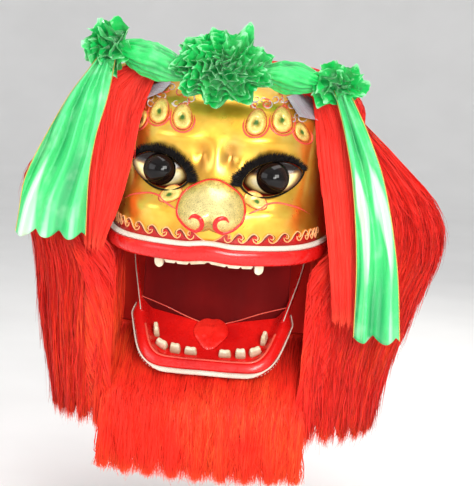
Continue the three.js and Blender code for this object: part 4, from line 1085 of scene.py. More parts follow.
def comb(pile, spots, flow, width, dice, steps, roll):
    """Adds strands. flow(t) gives every strand's points and outward ways at a share t of its length."""
    t = np.linspace(0, 1, steps + 1)
    path = np.stack([flow(share)[0] for share in t], 1)
    out = np.stack([flow(share)[1] for share in t], 1)
    along = np.gradient(path, axis=1)
    along /= np.maximum(np.linalg.norm(along, axis=-1, keepdims=True), 1e-9)
    aside = np.cross(along, out)
    aside /= np.maximum(np.linalg.norm(aside, axis=-1, keepdims=True), 1e-9)
    lean = dice.normal(0, roll, (spots, 1, 1))
    aside = aside * np.cos(lean) + np.cross(along, aside) * np.sin(lean)
    taper = (1 - (1 - TIP_WIDTH) * t**2.2) * (0.55 + 0.45 * smooth(0, 0.15, t))
    half = 0.5 * np.broadcast_to(width, (spots,))[:, None, None] * taper[None, :, None]
    points = np.stack([path - half * aside, path + half * aside], 2)
    base = np.arange(spots)[:, None] * 2 * (steps + 1) + 2 * np.arange(steps)[None]
    faces = np.stack([base, base + 1, base + 3, base + 2], -1).reshape(-1, 4)
    tone = np.repeat(dice.uniform(0, 1, spots), 2 * (steps + 1))
    pile.add(points, faces, along=np.tile(np.repeat(t, 2), spots), tone=tone)


# %% Lids: a fur band with fanned lashes, and the black line below
LID_PAINT = enamel("lid_black", [(0.0, (0.004, 0.003, 0.003)), (1.0, (0.010, 0.007, 0.006))], (0.5, 0.7))
set_sockets(LID_PAINT, Coat_Weight=0.0, Specular_IOR_Level=0.15)
LID = {"aside": 4.5, "top": 13, "bottom": 3.4, "clear": 0.4, "puff": 4.2, "sunk": -1.2}
LASHES = 1600


def lid_band(label, side):
    """The band of short black fur round an eye, broad above it and a thin line below."""
    def sheet(depth):
        def skin(u, v):
            turn = 2 * math.pi * u
            near = eye_outline(side, turn, LID["clear"], LID["clear"], LID["clear"])
            far = eye_outline(side, turn, LID["aside"], LID["top"], LID["bottom"])
            x, z = (mix(a, b, v) for a, b in zip(near, far))
            puff = 0.35 + 0.65 * np.sin(math.pi * np.clip(v, 0, 1)) ** 0.7
            return over_face(x, z, depth * puff)
        return grid(skin, 120, 6, wrap=True)
    points, faces = between(sheet(LID["puff"]), sheet(LID["sunk"]), wrap=True)
    lid = build(f"lid_band_{label}", points, faces, LID_PAINT, {"ring": cloud(points, 8) * 0.5 + 0.5})
    dress(lid, "head", "eye_black", f"eyelid_{label}")


def lashes(label, side):
    """Short hairs that fan out from the upper lid in small points, longest at the inner corner."""
    dice = np.random.default_rng(21 + side)
    turn = math.pi * dice.beta(1.35, 1.0, LASHES) * 1.06 - 0.06
    start = dice.uniform(0.0, 0.9, LASHES)
    near, far = eye_outline(side, turn, 0, 0, 0), eye_outline(side, turn, 4, 12, 3)
    x0, z0 = (mix(a, b, start) for a, b in zip(near, far))
    outward = np.stack([side * np.cos(turn + math.radians(EYE["tilt"])) * 0.9, np.sin(turn) + 0.2], -1)
    outward /= np.linalg.norm(outward, axis=1, keepdims=True)
    inner_corner = smooth(1.9, 2.9, turn)
    spike = np.round(turn * 11 + dice.normal(0, 0.12, LASHES)) / 11
    gathered_in = turn - spike
    sweep = side * mix(0.45, -0.35, inner_corner) + 1.6 * side * gathered_in + dice.normal(0, 0.10, LASHES)
    way = np.stack([outward[:, 0] + sweep, outward[:, 1] * (1 - 0.25 * inner_corner)], -1)
    way /= np.linalg.norm(way, axis=1, keepdims=True)
    short = dice.uniform(5, 11, LASHES)
    long = short + 15 * inner_corner * dice.uniform(0.2, 1, LASHES) * (1 - 6 * np.abs(gathered_in))
    rise = dice.uniform(2.5, 6.5, LASHES)

    def lash(t):
        x = x0 + way[:, 0] * long * t
        z = z0 + way[:, 1] * long * t + 2.2 * t**2
        y = face_y(x, z) - 3.0 - rise * np.sin(1.9 * t)
        return np.stack([x, y, z], -1), np.broadcast_to([0.0, -1.0, 0.0], (LASHES, 3))
    pile = Pile()
    comb(pile, LASHES, lash, dice.uniform(0.7, 1.3, LASHES), dice, 4, 0.9)
    dress(pile.build(f"lashes_{label}", LASH_HAIR, weld=False), "head", "eye_black")


for label, side in (("left", -1), ("right", 1)):
    lid_band(label, side)
    lashes(label, side)
print("lashes on each eye:", LASHES)

# %% A painted drop under each inner corner, and three over each brow
DROP_PAINT = enamel("ringed_drop", [
    (0.0, (0.03, 0.12, 0.012)), (0.16, (0.08, 0.20, 0.02)), (0.30, (0.70, 0.50, 0.10)),
    (0.60, (1.0, 0.74, 0.22)), (0.82, (0.94, 0.55, 0.10)), (0.90, (0.78, 0.16, 0.05)),
    (1.0, (0.62, 0.06, 0.03)),
], (0.2, 0.35), metal=0.3)
# The middle across and up, the half width and half height, and the lean of each drop.
BROW_DROPS = ((70, -82, 20, 25, -4), (117, -76, 20, 25, 8), (155, -98, 16, 21, 24))
LID_DROP = (80, -226, 24, 17, 18)


def drop_piece(name, outline, centre, height, nodes=()):
    def depth(x, z, v):
        rim = 1.3 * np.exp(-(((v - 0.92) / 0.06) ** 2))
        return face_y(x, z) - height(v) - rim
    front = radial(outline, centre, depth, 56, 14)
    points, faces = backed(front, 1.0)
    above = smooth(-2, 10, points[:, 2] - centre[1])
    ring = rim_share(front) * (1 - 0.2 * above) + 0.12 * above + 0.05 * cloud(points, 5, 9)
    return dress(build(name, points, faces, DROP_PAINT, {"ring": ring}), "head", "gold_lacquer", *nodes)


def drop_outline(side, drop):
    x0, z0, half, rise, lean = drop
    cos, sin = math.cos(math.radians(lean)), math.sin(math.radians(lean))

    def outline(turn):
        a = half * np.sin(turn) * (1 - 0.18 * np.cos(turn))
        b = rise * np.cos(turn)
        return side * (x0 + a * cos - b * sin * 0.6), z0 + b * cos - 0.6 * a * sin
    return outline


def brow_height(v):
    """A plump ring with a hollow in its middle."""
    return 1.0 + 7.5 * smooth(1, 0.7, v) - 4.5 * smooth(0.5, 0.12, v)


def lid_drop_height(v):
    return 0.6 + 3.6 * smooth(1, 0.4, v)


for label, side in (("left", -1), ("right", 1)):
    for i, drop in enumerate(BROW_DROPS, 1):
        drop_piece(f"brow_ring_{label}_{i}", drop_outline(side, drop), (side * drop[0], drop[1]),
                   brow_height, (f"brow_drop_{label}_{i}",))
    drop_piece(f"lid_drop_{label}", drop_outline(side, LID_DROP), (side * 83, -228), lid_drop_height)
print("drops:", 2 * (len(BROW_DROPS) + 1))

# %% Scalloped lines under the brow drops, and small curls over them
LILAC_LINE = lacquer("lilac_line", (0.42, 0.34, 0.36), (0.74, 0.64, 0.62), (0.9, 0.85, 0.8))
SCALLOP_GAP = 3.4
CURLS_FOR_EACH_DROP = 7
scallops, curlicues, dice = Pile(), Pile(), np.random.default_rng(5)
arc = np.radians(np.linspace(78, 282, 40))
taper = swells(np.linspace(0, 1, len(arc)), 0.12, 0.88, 0.25)
t = np.linspace(0, 1, 30)
for side in (-1, 1):
    for x0, z0, half, rise, lean in BROW_DROPS:
        under = (x0, z0, half + SCALLOP_GAP, rise + SCALLOP_GAP, lean)
        path = over_face(*drop_outline(side, under)(arc), 0.6)
        scallops.add(*rod(path, 1.5 * taper, 1.3 * taper, FRONT, 6))
        for k in range(CURLS_FOR_EACH_DROP):
            dx, dz, size = dice.uniform(-19, 19), dice.uniform(22, 46), dice.uniform(4.5, 8.5)
            turn = dice.choice((-1, 1)) * 2 * math.pi * dice.uniform(0.6, 1.1) * t + dice.uniform(0, 6.3)
            x = side * (x0 + dx) + size * (1 - 0.6 * t) * np.cos(turn) * 1.3
            z = z0 + dz + size * (1 - 0.6 * t) * np.sin(turn)
            pile = curlicues if k % 3 else scallops
            pile.add(*rod(over_face(x, z, 1.2), 1.4 * (1.15 - t), 1.0, FRONT, 6))
dress(scallops.build("brow_scallops", ROSE_LINE), "head", "red_lacquer")
dress(curlicues.build("brow_curls", LILAC_LINE), "head", "braid")

# %% [markdown]
# ## Lip, piping and teeth
# The lip is a roll of lacquered paper under the edge of the shell, with a cotton-covered cord glued
# along its top. The teeth of the real head are cut from board and painted: above, a strip of small ones
# shows between two blunt fangs.

# %% Profiles drawn along the lip
BEAD_RADIUS, SEAT_GAP, GAP = 4.5, 0.6, 0.3
CORD = {"radius": 5.1, "out": 1.8, "up": 0.3}


def lip_place(angle):
    z = lower_edge(angle)
    step = 1e-3
    ahead, behind = shell_point(angle + step, z), shell_point(angle - step, z)
    tangent = (ahead - behind)[..., :2]
    tangent /= np.linalg.norm(tangent, axis=-1, keepdims=True)
    out = np.stack([tangent[..., 1], -tangent[..., 0]], -1)
    return shell_point(angle, z), out


def along_lip(profile, start, end, steps, corner_cuts=2):
    """Rings of a profile, given as steps outwards and upwards, drawn along the lip between two angles."""
    share = np.linspace(0, 1, steps + 1)
    place, out = lip_place(np.radians(mix(start, end, share)))
    rings = np.stack([np.asarray(profile(s), float) for s in share])
    rings = softened(rings, corner_cuts) if corner_cuts else rings
    x = place[:, None, 0] + out[:, None, 0] * rings[..., 0]
    y = place[:, None, 1] + out[:, None, 1] * rings[..., 0]
    return np.stack([x, y, place[:, None, 2] + rings[..., 1]], -1)


def lip_profile(share):
    end = 0.55 + 0.45 * smooth(0, 0.08, share) * smooth(1, 0.92, share)
    deep = LIP["deep"] * end
    inside, proud = LIP["inside"], LIP["proud"]
    return [
        (-inside, -SEAT_GAP), (proud * 0.3, 0.4 - SEAT_GAP), (proud * 0.80, -SEAT_GAP),
        (proud * 1.04, -deep * 0.22), (proud * 1.03, -deep * 0.55), (proud * 0.86, -deep * 0.84),
        (proud * 0.4, -deep * 1.0), (-inside, -deep * 0.96),
    ]


def cord_profile(share):
    radius = CORD["radius"] * (0.6 + 0.4 * smooth(0, 0.06, share) * smooth(1, 0.94, share))
    return np.stack([BEAD_RADIUS + CORD["out"] + radius * np.cos(full_turn(14)),
                     BEAD_RADIUS + CORD["up"] + radius * np.sin(full_turn(14))], -1)


lip_rings = along_lip(lip_profile, -LIP["reach"], LIP["reach"], 140)
cord_rings = along_lip(cord_profile, -LIP["reach"], LIP["reach"], 220, 0)
dress(build("lip_roll", *lofted(lip_rings), RED_LACQUER), "head", "red_lacquer", "upper_lip")
dress(build("lip_cord", *lofted(cord_rings), PIPING), "head", "piping", "lip_piping")

# %% Upper teeth
TOOTH_BACK = LIP["inside"] + GAP + 1
INCISORS = {"count": 6, "reach": 19.4, "below": 8, "root": -334, "tip": -359}
FANG = {"from": 20.6, "to": 25.6, "below": 13, "root": -335, "tip": -370}


def incisor_profile(share):
    within = abs((share * INCISORS["count"]) % 1 - 0.5)
    foot = -LIP["deep"] - INCISORS["below"] + 3.4 * smooth(0.36, 0.5, within)
    thin = 1.0 - 0.35 * smooth(0.40, 0.5, within)
    return [(-TOOTH_BACK - 7 * thin, -16), (-TOOTH_BACK, -16), (-TOOTH_BACK + 0.4 * thin, foot + 6),
            (-TOOTH_BACK - 0.6, foot), (-TOOTH_BACK - 6 * thin, foot)]


def fang_profile(share):
    round_off = 1 - 0.16 * (2 * share - 1) ** 4
    foot = -LIP["deep"] - FANG["below"] - 6.5 * math.sin(math.pi * share) ** 0.6
    return [(-TOOTH_BACK - 9, -14), (-TOOTH_BACK, -14), (-TOOTH_BACK - 0.2, foot * 0.8),
            (-TOOTH_BACK - 1.5, foot), (-TOOTH_BACK - 7.5, foot),
            (-TOOTH_BACK - 9 * round_off, foot * 0.8)]


def upper_tooth(name, rings, sizes, solid, crease=None):
    """A tooth whose mark says how near its root a point lies: 0 at the biting edge and 1 in the gum."""
    points, faces = lofted(rings)
    root = np.clip((points[:, 2] - sizes["tip"]) / (sizes["root"] - sizes["tip"]), 0, 1)
    made = build(name, points, faces, TOOTH, {"root": root}, crease=crease)
    dress(made, "head", "teeth", solid)


strip = along_lip(incisor_profile, -INCISORS["reach"], INCISORS["reach"], 144, 1)
upper_tooth("incisor_strip", strip, INCISORS, "upper_incisors")
for label, ends in (("left", (-FANG["to"], -FANG["from"])), ("right", (FANG["from"], FANG["to"]))):
    upper_tooth(f"fang_{label}", along_lip(fang_profile, *ends, 24, 2), FANG, f"upper_fang_{label}", 50)
print("lip and upper teeth made")

# %% [markdown]
# ## Mouth and jaw
# The roof of the mouth is dark red cloth that runs back from the edge of the shell and falls as a
# curtain before the dancer's chest. The jaw is a lacquered scoop on two levers. It is drawn shut, as
# its solid is, and swung open about the hinge, so that one turn brings it to rest.

# %% Cloth of the mouth
CURTAIN_Z = -520
ROOF = {"reach": 36, "half": 148, "y": -14, "z": -300}


def mouth_cloth(u, v):
    side = 2 * u - 1
    turn = 0.42
    arch = 12 * (1 - side * side)
    t = np.clip(v / turn, 0, 1)
    edge, out = lip_place(np.radians(side * ROOF["reach"]))
    inside = SHELL_WALL + 1.2
    roof = np.stack([
        mix(edge[..., 0] - inside * out[..., 0], side * ROOF["half"], t),
        mix(edge[..., 1] - inside * out[..., 1], ROOF["y"], t),
        mix(edge[..., 2] + 3, ROOF["z"], smooth(0, 0.7, t)) + arch * smooth(0, 0.3, t),
    ], -1)
    down = np.clip((v - turn) / (1 - turn), 0, 1)
    fold = 4 * np.sin(side * 2 * math.pi + 1.2 * down) + 0.8 * np.sin(side * 7 * math.pi + 3 * down)
    fold = fold * smooth(0.05, 0.4, down)
    curtain = np.stack([
        side * ROOF["half"] + 0 * down,
        ROOF["y"] + 12 * (1 - side * side) * down + fold,
        mix(ROOF["z"], CURTAIN_Z, down) + arch * (1 - down),
    ], -1)
    return np.where((v < turn)[..., None], roof, curtain)


CLOTH_WALL = 1.2
front = grid(mouth_cloth, 72, 42)
square = square_to(front)
points, faces = between(front, front + CLOTH_WALL * square * np.sign(square[..., 2:3].mean()))
# Painted light and shade: the cloth is brighter towards the sides, near the mouth's front edge and low down,
# and dark deep inside.
aside = smooth(70, 150, np.abs(points[:, 0]) + 0.35 * (points[:, 2] - ROOF["z"]))
near_edge = smooth(-90, -190, points[:, 1]) * smooth(30, 120, np.abs(points[:, 0]))
painted_mouth_light = np.clip(0.75 * aside + 0.6 * near_edge + 0.15 * smooth(-430, -520, points[:, 2]), 0, 1)
lining = dress(build("mouth_cloth", points, faces, MOUTH_CLOTH, {"painted_mouth_light": painted_mouth_light}), "head",
               "mouth_cloth", "mouth_lining")


# %% The scoop, drawn shut
HINGE = {"y": 60, "z": -325, "bore": 6.4, "drill_reach": 210}
JAW_OPEN = 42
JAW = {"floor": -382, "spine": -196, "rear": -152, "wall": 4, "flange": 14}
RIDGE = table(
    "share x y z",
    (0, 0, -254, -361),
    (0.22, 58, -254, -361),
    (0.38, 97, -250, -360),
    (0.52, 118, -230, -358),
    (0.72, 134, -184, -356),
    (1, 152, -116, -350),
)


def open_jaw(points):
    angle = math.radians(JAW_OPEN)
    points = np.array(points, float)
    y, z = points[..., 1] - HINGE["y"], points[..., 2] - HINGE["z"]
    points[..., 1] = y * math.cos(angle) - z * math.sin(angle) + HINGE["y"]
    points[..., 2] = y * math.sin(angle) + z * math.cos(angle) + HINGE["z"]
    return points


def jaw_ridge(s):
    share = np.abs(s)
    return [np.sign(s) * read(RIDGE, "x", share), read(RIDGE, "y", share), read(RIDGE, "z", share)]


def jaw_skin(s, r):
    s, r = np.broadcast_arrays(np.asarray(s, float), np.asarray(r, float))
    ex, ey, ez = jaw_ridge(s)
    gum = 0.88
    t = np.minimum(1, r / gum)
    x, y = ex * t, mix(mix(JAW["spine"], JAW["rear"], np.abs(s) ** 1.2), ey, t)
    z = JAW["floor"] + (ez - JAW["floor"]) * smooth(0.8, 1, t)
    reach = np.clip((r - gum) / (1 - gum), 0, 1)
    width = JAW["flange"] * (1 - smooth(0.86, 1, np.abs(s))) + 2
    ahead, behind = jaw_ridge(s + 1e-3), jaw_ridge(s - 1e-3)
    away = np.stack([ahead[1] - behind[1], behind[0] - ahead[0]], -1)
    away /= np.linalg.norm(away, axis=-1, keepdims=True)
    return np.stack([x + away[..., 0] * width * reach, y + away[..., 1] * width * reach,
                     z - 9 * reach**2], -1)


scoop_top = grid(lambda u, v: jaw_skin(2 * u - 1, v), 96, 42)
points, faces = between(scoop_top, scoop_top - [0, 0, JAW["wall"]])
scoop = Pile()
scoop.add(points, faces)

LEVER_THICK = 7
# How far back, the lower and the upper edge, and the distance from the middle of each lever's sections.
LEVER = [
    (-150, -376, -350, 137), (-96, -372, -341, 150), (-44, -366, -332, 162), (20, -350, -313, 173),
    (42, -344, -306, 176), (70, -342, -308, 176), (80, -333, -317, 176),
]
back, low, high, inside = through(LEVER, 40).T
for side in (-1, 1):
    section = ((inside, low), (inside + LEVER_THICK, low), (inside + LEVER_THICK, high), (inside, high))
    corners = np.stack([np.stack([side * x, back, z], -1) for x, z in section], 1)
    scoop.add(*lofted(softened(corners, 2)))
scoop_mesh = scoop.build("jaw_scoop_lacquer", RED_LACQUER, crease=45)
turn = full_turn(40)
bore_y, bore_z = HINGE["y"] + HINGE["bore"] * np.cos(turn), HINGE["z"] + HINGE["bore"] * np.sin(turn)
drill = np.stack([np.stack([np.full_like(turn, x), bore_y, bore_z], -1)
                  for x in (-HINGE["drill_reach"], HINGE["drill_reach"])])
cut_out(scoop_mesh, build("hinge_drill", *lofted(drill), STEEL), overlaps=True)
coordinates = np.empty(3 * len(scoop_mesh.data.vertices))
scoop_mesh.data.vertices.foreach_get("co", coordinates)
swung = open_jaw(coordinates.reshape(-1, 3) / MM) * MM
scoop_mesh.data.vertices.foreach_set("co", swung.ravel())
scoop_mesh.data.update()
dress(scoop_mesh, "jaw", "red_lacquer", "jaw_scoop")
print("scoop:", triangles(scoop_mesh), "triangles")

# %% Cord, fine white lines and stitches round the jaw
def jaw_edge(s, aside, drop):
    """Places beside the jaw's edge: so far outside it and so far below it, in the shut jaw."""
    here = jaw_skin(s, 1.0)
    along = jaw_skin(s + 1e-3, 1.0) - jaw_skin(s - 1e-3, 1.0)
    out = np.stack([along[..., 1], -along[..., 0]], -1)
    out /= np.linalg.norm(out, axis=-1, keepdims=True)
    aside = np.broadcast_to(aside, s.shape)[..., None]
    here[..., :2] += out * aside
    here[..., 2] -= drop
    return here, np.concatenate([out, np.zeros(s.shape + (1,))], -1)


def jaw_rod(path, wide, proud, out, sides=8):
    """A rod drawn on the shut jaw and swung open with it."""
    points, faces = rod(path, wide, proud, out, sides)
    return open_jaw(points), faces


UP = (0, 0, 1)
s = np.linspace(-0.96, 0.96, 260)
radius = 5.0 - 3.3 * smooth(0.30, 0.44, np.abs(s)) - 0.5 * smooth(0.6, 0.96, np.abs(s))
path, out = jaw_edge(s, radius + 1.0, 2)
dress(build("jaw_cord", *jaw_rod(path, radius, radius, out, 12), PIPING), "jaw", "piping", "jaw_piping")

REAR_LINE = [(150, -117, -350), (96, -130, -362), (44, -143, -378)]
rear = [(-x, y, z) for x, y, z in REAR_LINE] + [(0, -152, -382)] + REAR_LINE[::-1]
rear = through(np.array(rear) + [0, 0, 1.5], 90)
rear[:, 2] = np.maximum(rear[:, 2], JAW["floor"] + 1.4)
dress(build("jaw_rear_line", *jaw_rod(rear, 1.1, 1.1, UP), ROSE_LINE), "jaw", "red_lacquer")
trim = Pile()
back, _, high, inside = through(LEVER[:6], 60).T
for side in (-1, 1):
    trim.add(*jaw_rod(np.stack([side * (inside + LEVER_THICK - 0.6), back, high - 1.0], -1), 1.0, 1.0, UP))
dress(trim.build("jaw_fine_lines", PIPING), "jaw", "piping")

HEM = {"reach": 0.62, "top": 4, "tall": 11, "thick": 0.9}
STITCHES = {"count": 47, "reach": 0.58, "half": 0.005, "out": 3.2, "down": 11.5}
hem = grid(lambda u, v: jaw_edge((2 * u - 1) * HEM["reach"], 1.4 + 1.6 * v, HEM["top"] + HEM["tall"] * v)[0],
           150, 4)
points, faces = between(hem, hem + [0, HEM["thick"], 0])
dress(build("jaw_hem", open_jaw(points), faces, DARK_FIELD), "jaw", "red_lacquer")
stitches = Pile()
for s in np.linspace(-STITCHES["reach"], STITCHES["reach"], STITCHES["count"]):
    one = np.linspace(s - STITCHES["half"], s + STITCHES["half"], 6)
    path, out = jaw_edge(one, STITCHES["out"], STITCHES["down"])
    stitches.add(*jaw_rod(path, 0.7, 0.6, out, 6))
dress(stitches.build("jaw_stitches", PIPING), "jaw", "piping")

gum = jaw_skin(np.linspace(-0.74, 0.74, 200), 0.845) + [0, 0, 1.0]
dress(build("gum_line", *jaw_rod(gum, 2.2, 2.0, UP, 10), ROSE_LINE), "jaw", "red_lacquer")

# %% Lower teeth: blunt blocks, narrower at the biting edge, with a dip across each crown
# The place, width, depth, height and lean of each tooth of one side.
LOWER_TEETH = ((34, -224, 26, 12, 14, 2), (65, -222, 22, 14, 19, 6), (93, -213, 26, 14, 15, 28),
               (108, -183, 22, 13, 24, 78))


def jaw_top(x, y):
    """Height of the shut jaw's floor under a place, from its gum ridge."""
    near = np.argmin(np.hypot(scoop_top[..., 0].ravel()[None] - np.ravel(x)[:, None],
                              scoop_top[..., 1].ravel()[None] - np.ravel(y)[:, None]), axis=1)
    return scoop_top[..., 2].ravel()[near].reshape(np.shape(x))


def block_tooth(side, x0, y0, wide, deep, tall, lean):
    crown = np.sin(np.linspace(0.2, math.pi / 2, 9))
    heights = np.concatenate([np.linspace(0, 0.72, 6), 0.72 + 0.28 * crown])
    turn = full_turn(40)
    cos, sin = power(np.cos(turn), 0.42), power(np.sin(turn), 0.42)
    angle = math.radians(side * lean)
    rings = []
    for h in heights:
        shoulder = math.sqrt(max(0.0, 1 - max(0.0, (h - 0.72) / 0.28) ** 2)) * 0.8 + 0.2
        waist = 1 - 0.05 * math.exp(-((h / 0.12) ** 2))
        a = wide / 2 * (1 - 0.2 * h) * (0.72 + 0.28 * shoulder) * waist * cos
        b = deep / 2 * (1 - 0.36 * h) * (0.6 + 0.4 * shoulder) * waist * sin
        x = side * x0 + a * math.cos(angle) - b * math.sin(angle)
        y = y0 + a * math.sin(angle) + b * math.cos(angle)
        top = JAW["floor"] + tall + 4 - 1.8 * np.exp(-((a / 3.2) ** 2)) * smooth(0.7, 1, h)
        base = jaw_top(x, y) + SEAT_GAP
        rings.append(np.stack([x, y, mix(base, top, h)], -1))
    # Painted shade: the root mark darkens each lower tooth towards the jaw floor.
    root = np.concatenate([np.repeat(1 - heights, len(turn)), [1, 0]])
    return np.stack(rings), root


for label, side in (("left", -1), ("right", 1)):
    for i, tooth in enumerate(LOWER_TEETH, 1):
        rings, root = block_tooth(side, *tooth)
        points, faces = lofted(rings)
        made = build(f"block_tooth_{label}_{i}", open_jaw(points), faces, TOOTH, {"root": root}, crease=60)
        dress(made, "jaw", "teeth", f"lower_tooth_{label}_{i}")

# %% Tongue
TONGUE = {"y": -176, "half": 35, "long": 38, "edge": 3, "plump": 7, "groove": 3.5}


def tongue_outline(turn):
    down = np.cos(turn)
    wide = TONGUE["half"] * (1 - 0.42 * smooth(-0.2, 1, down))
    return wide * power(np.sin(turn), 0.7), TONGUE["y"] - TONGUE["long"] * down


def tongue_sheet(top):
    def skin(u, v):
        ex, ey = tongue_outline(2 * math.pi * u)
        x, y = ex * v, mix(TONGUE["y"], ey, v)
        base = JAW["floor"] + SEAT_GAP + 0 * x
        crown = base + TONGUE["edge"] + TONGUE["plump"] * (1 - v * v)
        crown = crown - TONGUE["groove"] * np.exp(-((x / 5) ** 2)) + 0.8 * cloud(np.stack([x, y], -1), 9, 5)
        return np.stack([x, y, crown if top else base], -1)
    return grid(skin, 64, 20, wrap=True)


points, faces = between(tongue_sheet(True), tongue_sheet(False), wrap=True)
dress(build("tongue_pad", open_jaw(points), faces, TONGUE_RED), "jaw", "tongue_red", "tongue")
for side in ("left", "right"):
    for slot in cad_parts[f"hinge_pin_{side}"].material_slots:
        slot.material = STEEL
print("jaw dressed")

# %% [markdown]
# ## Hair
# Long hair is what makes the lion. On the real head it is yarn, sewn in rows to a cloth cape. Here each
# panel has an under-layer with the locks of its solid, and over it thousands of flat tapered strips,
# combed along the same surface. Strips gather into locks towards their tips, and each keeps its own
# tone, so light breaks up as it does on real yarn. Strips cost far fewer faces than round hairs, and at
# this distance nobody can tell.

# %% The mane's sections, as in the solid
FUR_WALL = 16
MANE_SQUARENESS = 2.2
MANE = table(
    "z right left front back edge",
    (-810, 288, 280, 196, 250, 190),
    (-720, 316, 300, 192, 270, 196),
    (-640, 332, 318, 184, 284, 197),
    (-560, 352, 338, 174, 296, 198),
    (-480, 382, 352, 164, 302, 202),
    (-400, 410, 362, 158, 302, 206),
    (-350, 430, 374, 154, 298, 238),
    (-290, 436, 394, 150, 292, 238),
    (-230, 410, 392, 146, 280, 236),
    (-170, 352, 352, 140, 262, 232),
    (-110, 288, 290, 130, 240, 224),
    (-62, 238, 238, 116, 216, 214),
)


def mane_reach(x, z):
    return np.where(np.asarray(x) < 0, read(MANE, "left", z), read(MANE, "right", z))


def mane_point(angle, z, swell=0.0):
    half = mane_reach(np.sin(angle), z)
    depth = np.where(np.cos(angle) >= 0, -read(MANE, "front", z), read(MANE, "back", z))
    p = 2 / MANE_SQUARENESS
    x = (half + swell) * power(np.sin(angle), p)
    y = (depth + np.sign(depth) * swell) * np.abs(np.cos(angle)) ** p
    return np.stack([x, y, z + 0 * x], -1)


def mane_front_y(x, z):
    share = np.clip(np.abs(x) / mane_reach(x, z), 0, 1)
    return -read(MANE, "front", z) * (1 - share**MANE_SQUARENESS) ** (1 / MANE_SQUARENESS)


def front_edge(side, z):
    share = np.clip(read(MANE, "edge", z) / mane_reach(side, z), 0, 1)
    return np.arcsin(share ** (MANE_SQUARENESS / 2))


def lock_ridge(count, u, v):
    return (3 + 7 * v) * np.abs(np.cos(math.pi * count * u))


def jagged(count, u):
    return np.abs(2 * (count * u % 1) - 1)


# %% Locks and strands on any panel
def under_layer(name, place, locks, across, along, finish, wall, slot, nodes, wrap=False):
    """The panel's own mass: smaller locks ride on the large ones, and its tips are ragged."""
    def skin(u, v):
        small = 2.2 * np.abs(np.cos(math.pi * 3.7 * locks * u + 2 * v)) * smooth(0, 0.2, v)
        rough = 1.6 * cloud(np.stack([u * locks * 2.2, v * 5], -1), 1.0, 4)
        return place(u, v, small + rough - 2.0)
    front = grid(skin, across, along, wrap)
    behind = grid(lambda u, v: place(u, v, -wall * (1 - 0.5 * v)), across, along, wrap)
    points, faces = between(front, behind, wrap)
    u = np.linspace(0, 1, across + 1)[: across if wrap else None]
    tone = 0.5 + 0.4 * np.cos(2 * math.pi * locks * 2 * u)[:, None] * np.ones(along + 1)
    # Painted shade: the mass takes the dark colour of the strands' roots and a darker tone, as it lies under
    # the strands.
    marks = {"along": np.full(len(points), 0.17), "tone": np.tile(tone.ravel(), 2) * 0.6}
    return dress(build(name, points, faces, finish, marks), "head", slot, *nodes)


def strands(name, place, locks, count, finish, seed, long, start=(0.0, 0.8), width=(1.3, 2.7),
            lift=(0.5, 8), clump=0.4, wander=0.012, steps=4, limits=(0.0, 1.0), overhang=0.03, hem=0.0,
            flare=5.0):
    """Strands combed along v of a panel. long is the shortest and longest share of v that one covers."""
    dice = np.random.default_rng(seed)
    u0, v0 = dice.uniform(*limits, count), mix(*start, dice.uniform(0, 1, count) ** 0.85)
    reach = dice.uniform(*long, count)
    fine = locks * 3
    centre = (np.floor(u0 * fine) + 0.5 + dice.normal(0, 0.06, count)) / fine
    pull = clump * dice.uniform(0.4, 1.0, count)
    shortfall = 1 - jagged(locks, np.clip(mix(u0, centre, pull), 0, 1))
    ragged = hem * shortfall * dice.uniform(0.2, 1.05, count)
    reach = np.minimum(reach, 1 + overhang * dice.uniform(0, 1, count) + ragged - v0)
    phase, bends = dice.uniform(0, 2 * math.pi, count), dice.uniform(0.4, 1.3, count)
    sway = wander * dice.normal(0, 1, count)
    base = dice.uniform(*lift, count)
    kick = flare * np.clip(dice.normal(0.3, 0.7, count), -1.2, 1.5)

    def flow(t):
        u = mix(u0, centre, pull * t**1.3) + sway * np.sin(phase + bends * 2 * math.pi * t) * (0.3 + t)
        v = v0 + reach * t
        height = base * (0.35 + 0.65 * np.sin(math.pi * np.clip(t, 0, 1)) ** 0.6) + kick * t**2
        here = place(u, v, height)
        return here, place(u, v, height + 1) - here

    pile = Pile()
    comb(pile, count, flow, dice.uniform(*width, count), dice, steps, 0.55)
    made = dress(pile.build(name, finish, weld=False), "head", "fur")
    print(name, count, "strands,", triangles(made), "triangles")


# %% The mane in three panels
SEAM = 0.22


TUFT = 44
TIP_FALL = 420


def mane_panel(start, end, bottom, locks):
    """A panel of the mane between two angles, or from the face's own edge where none is given."""
    def place(u, v, lift=0.0):
        tall = np.minimum(v, 1.0)
        low = bottom + TUFT * (1 - jagged(locks, np.clip(u, 0, 1)))
        z = mix(MANE["z"][-1], low, tall) - TIP_FALL * np.maximum(v - 1, 0)
        first = front_edge(1, z) if start is None else math.radians(start)
        last = 2 * math.pi - front_edge(-1, z) if end is None else math.radians(end)
        swell = lock_ridge(locks, u, tall) + lift
        return mane_point(mix(first, last, u), z, np.maximum(swell, -FUR_WALL))
    return place


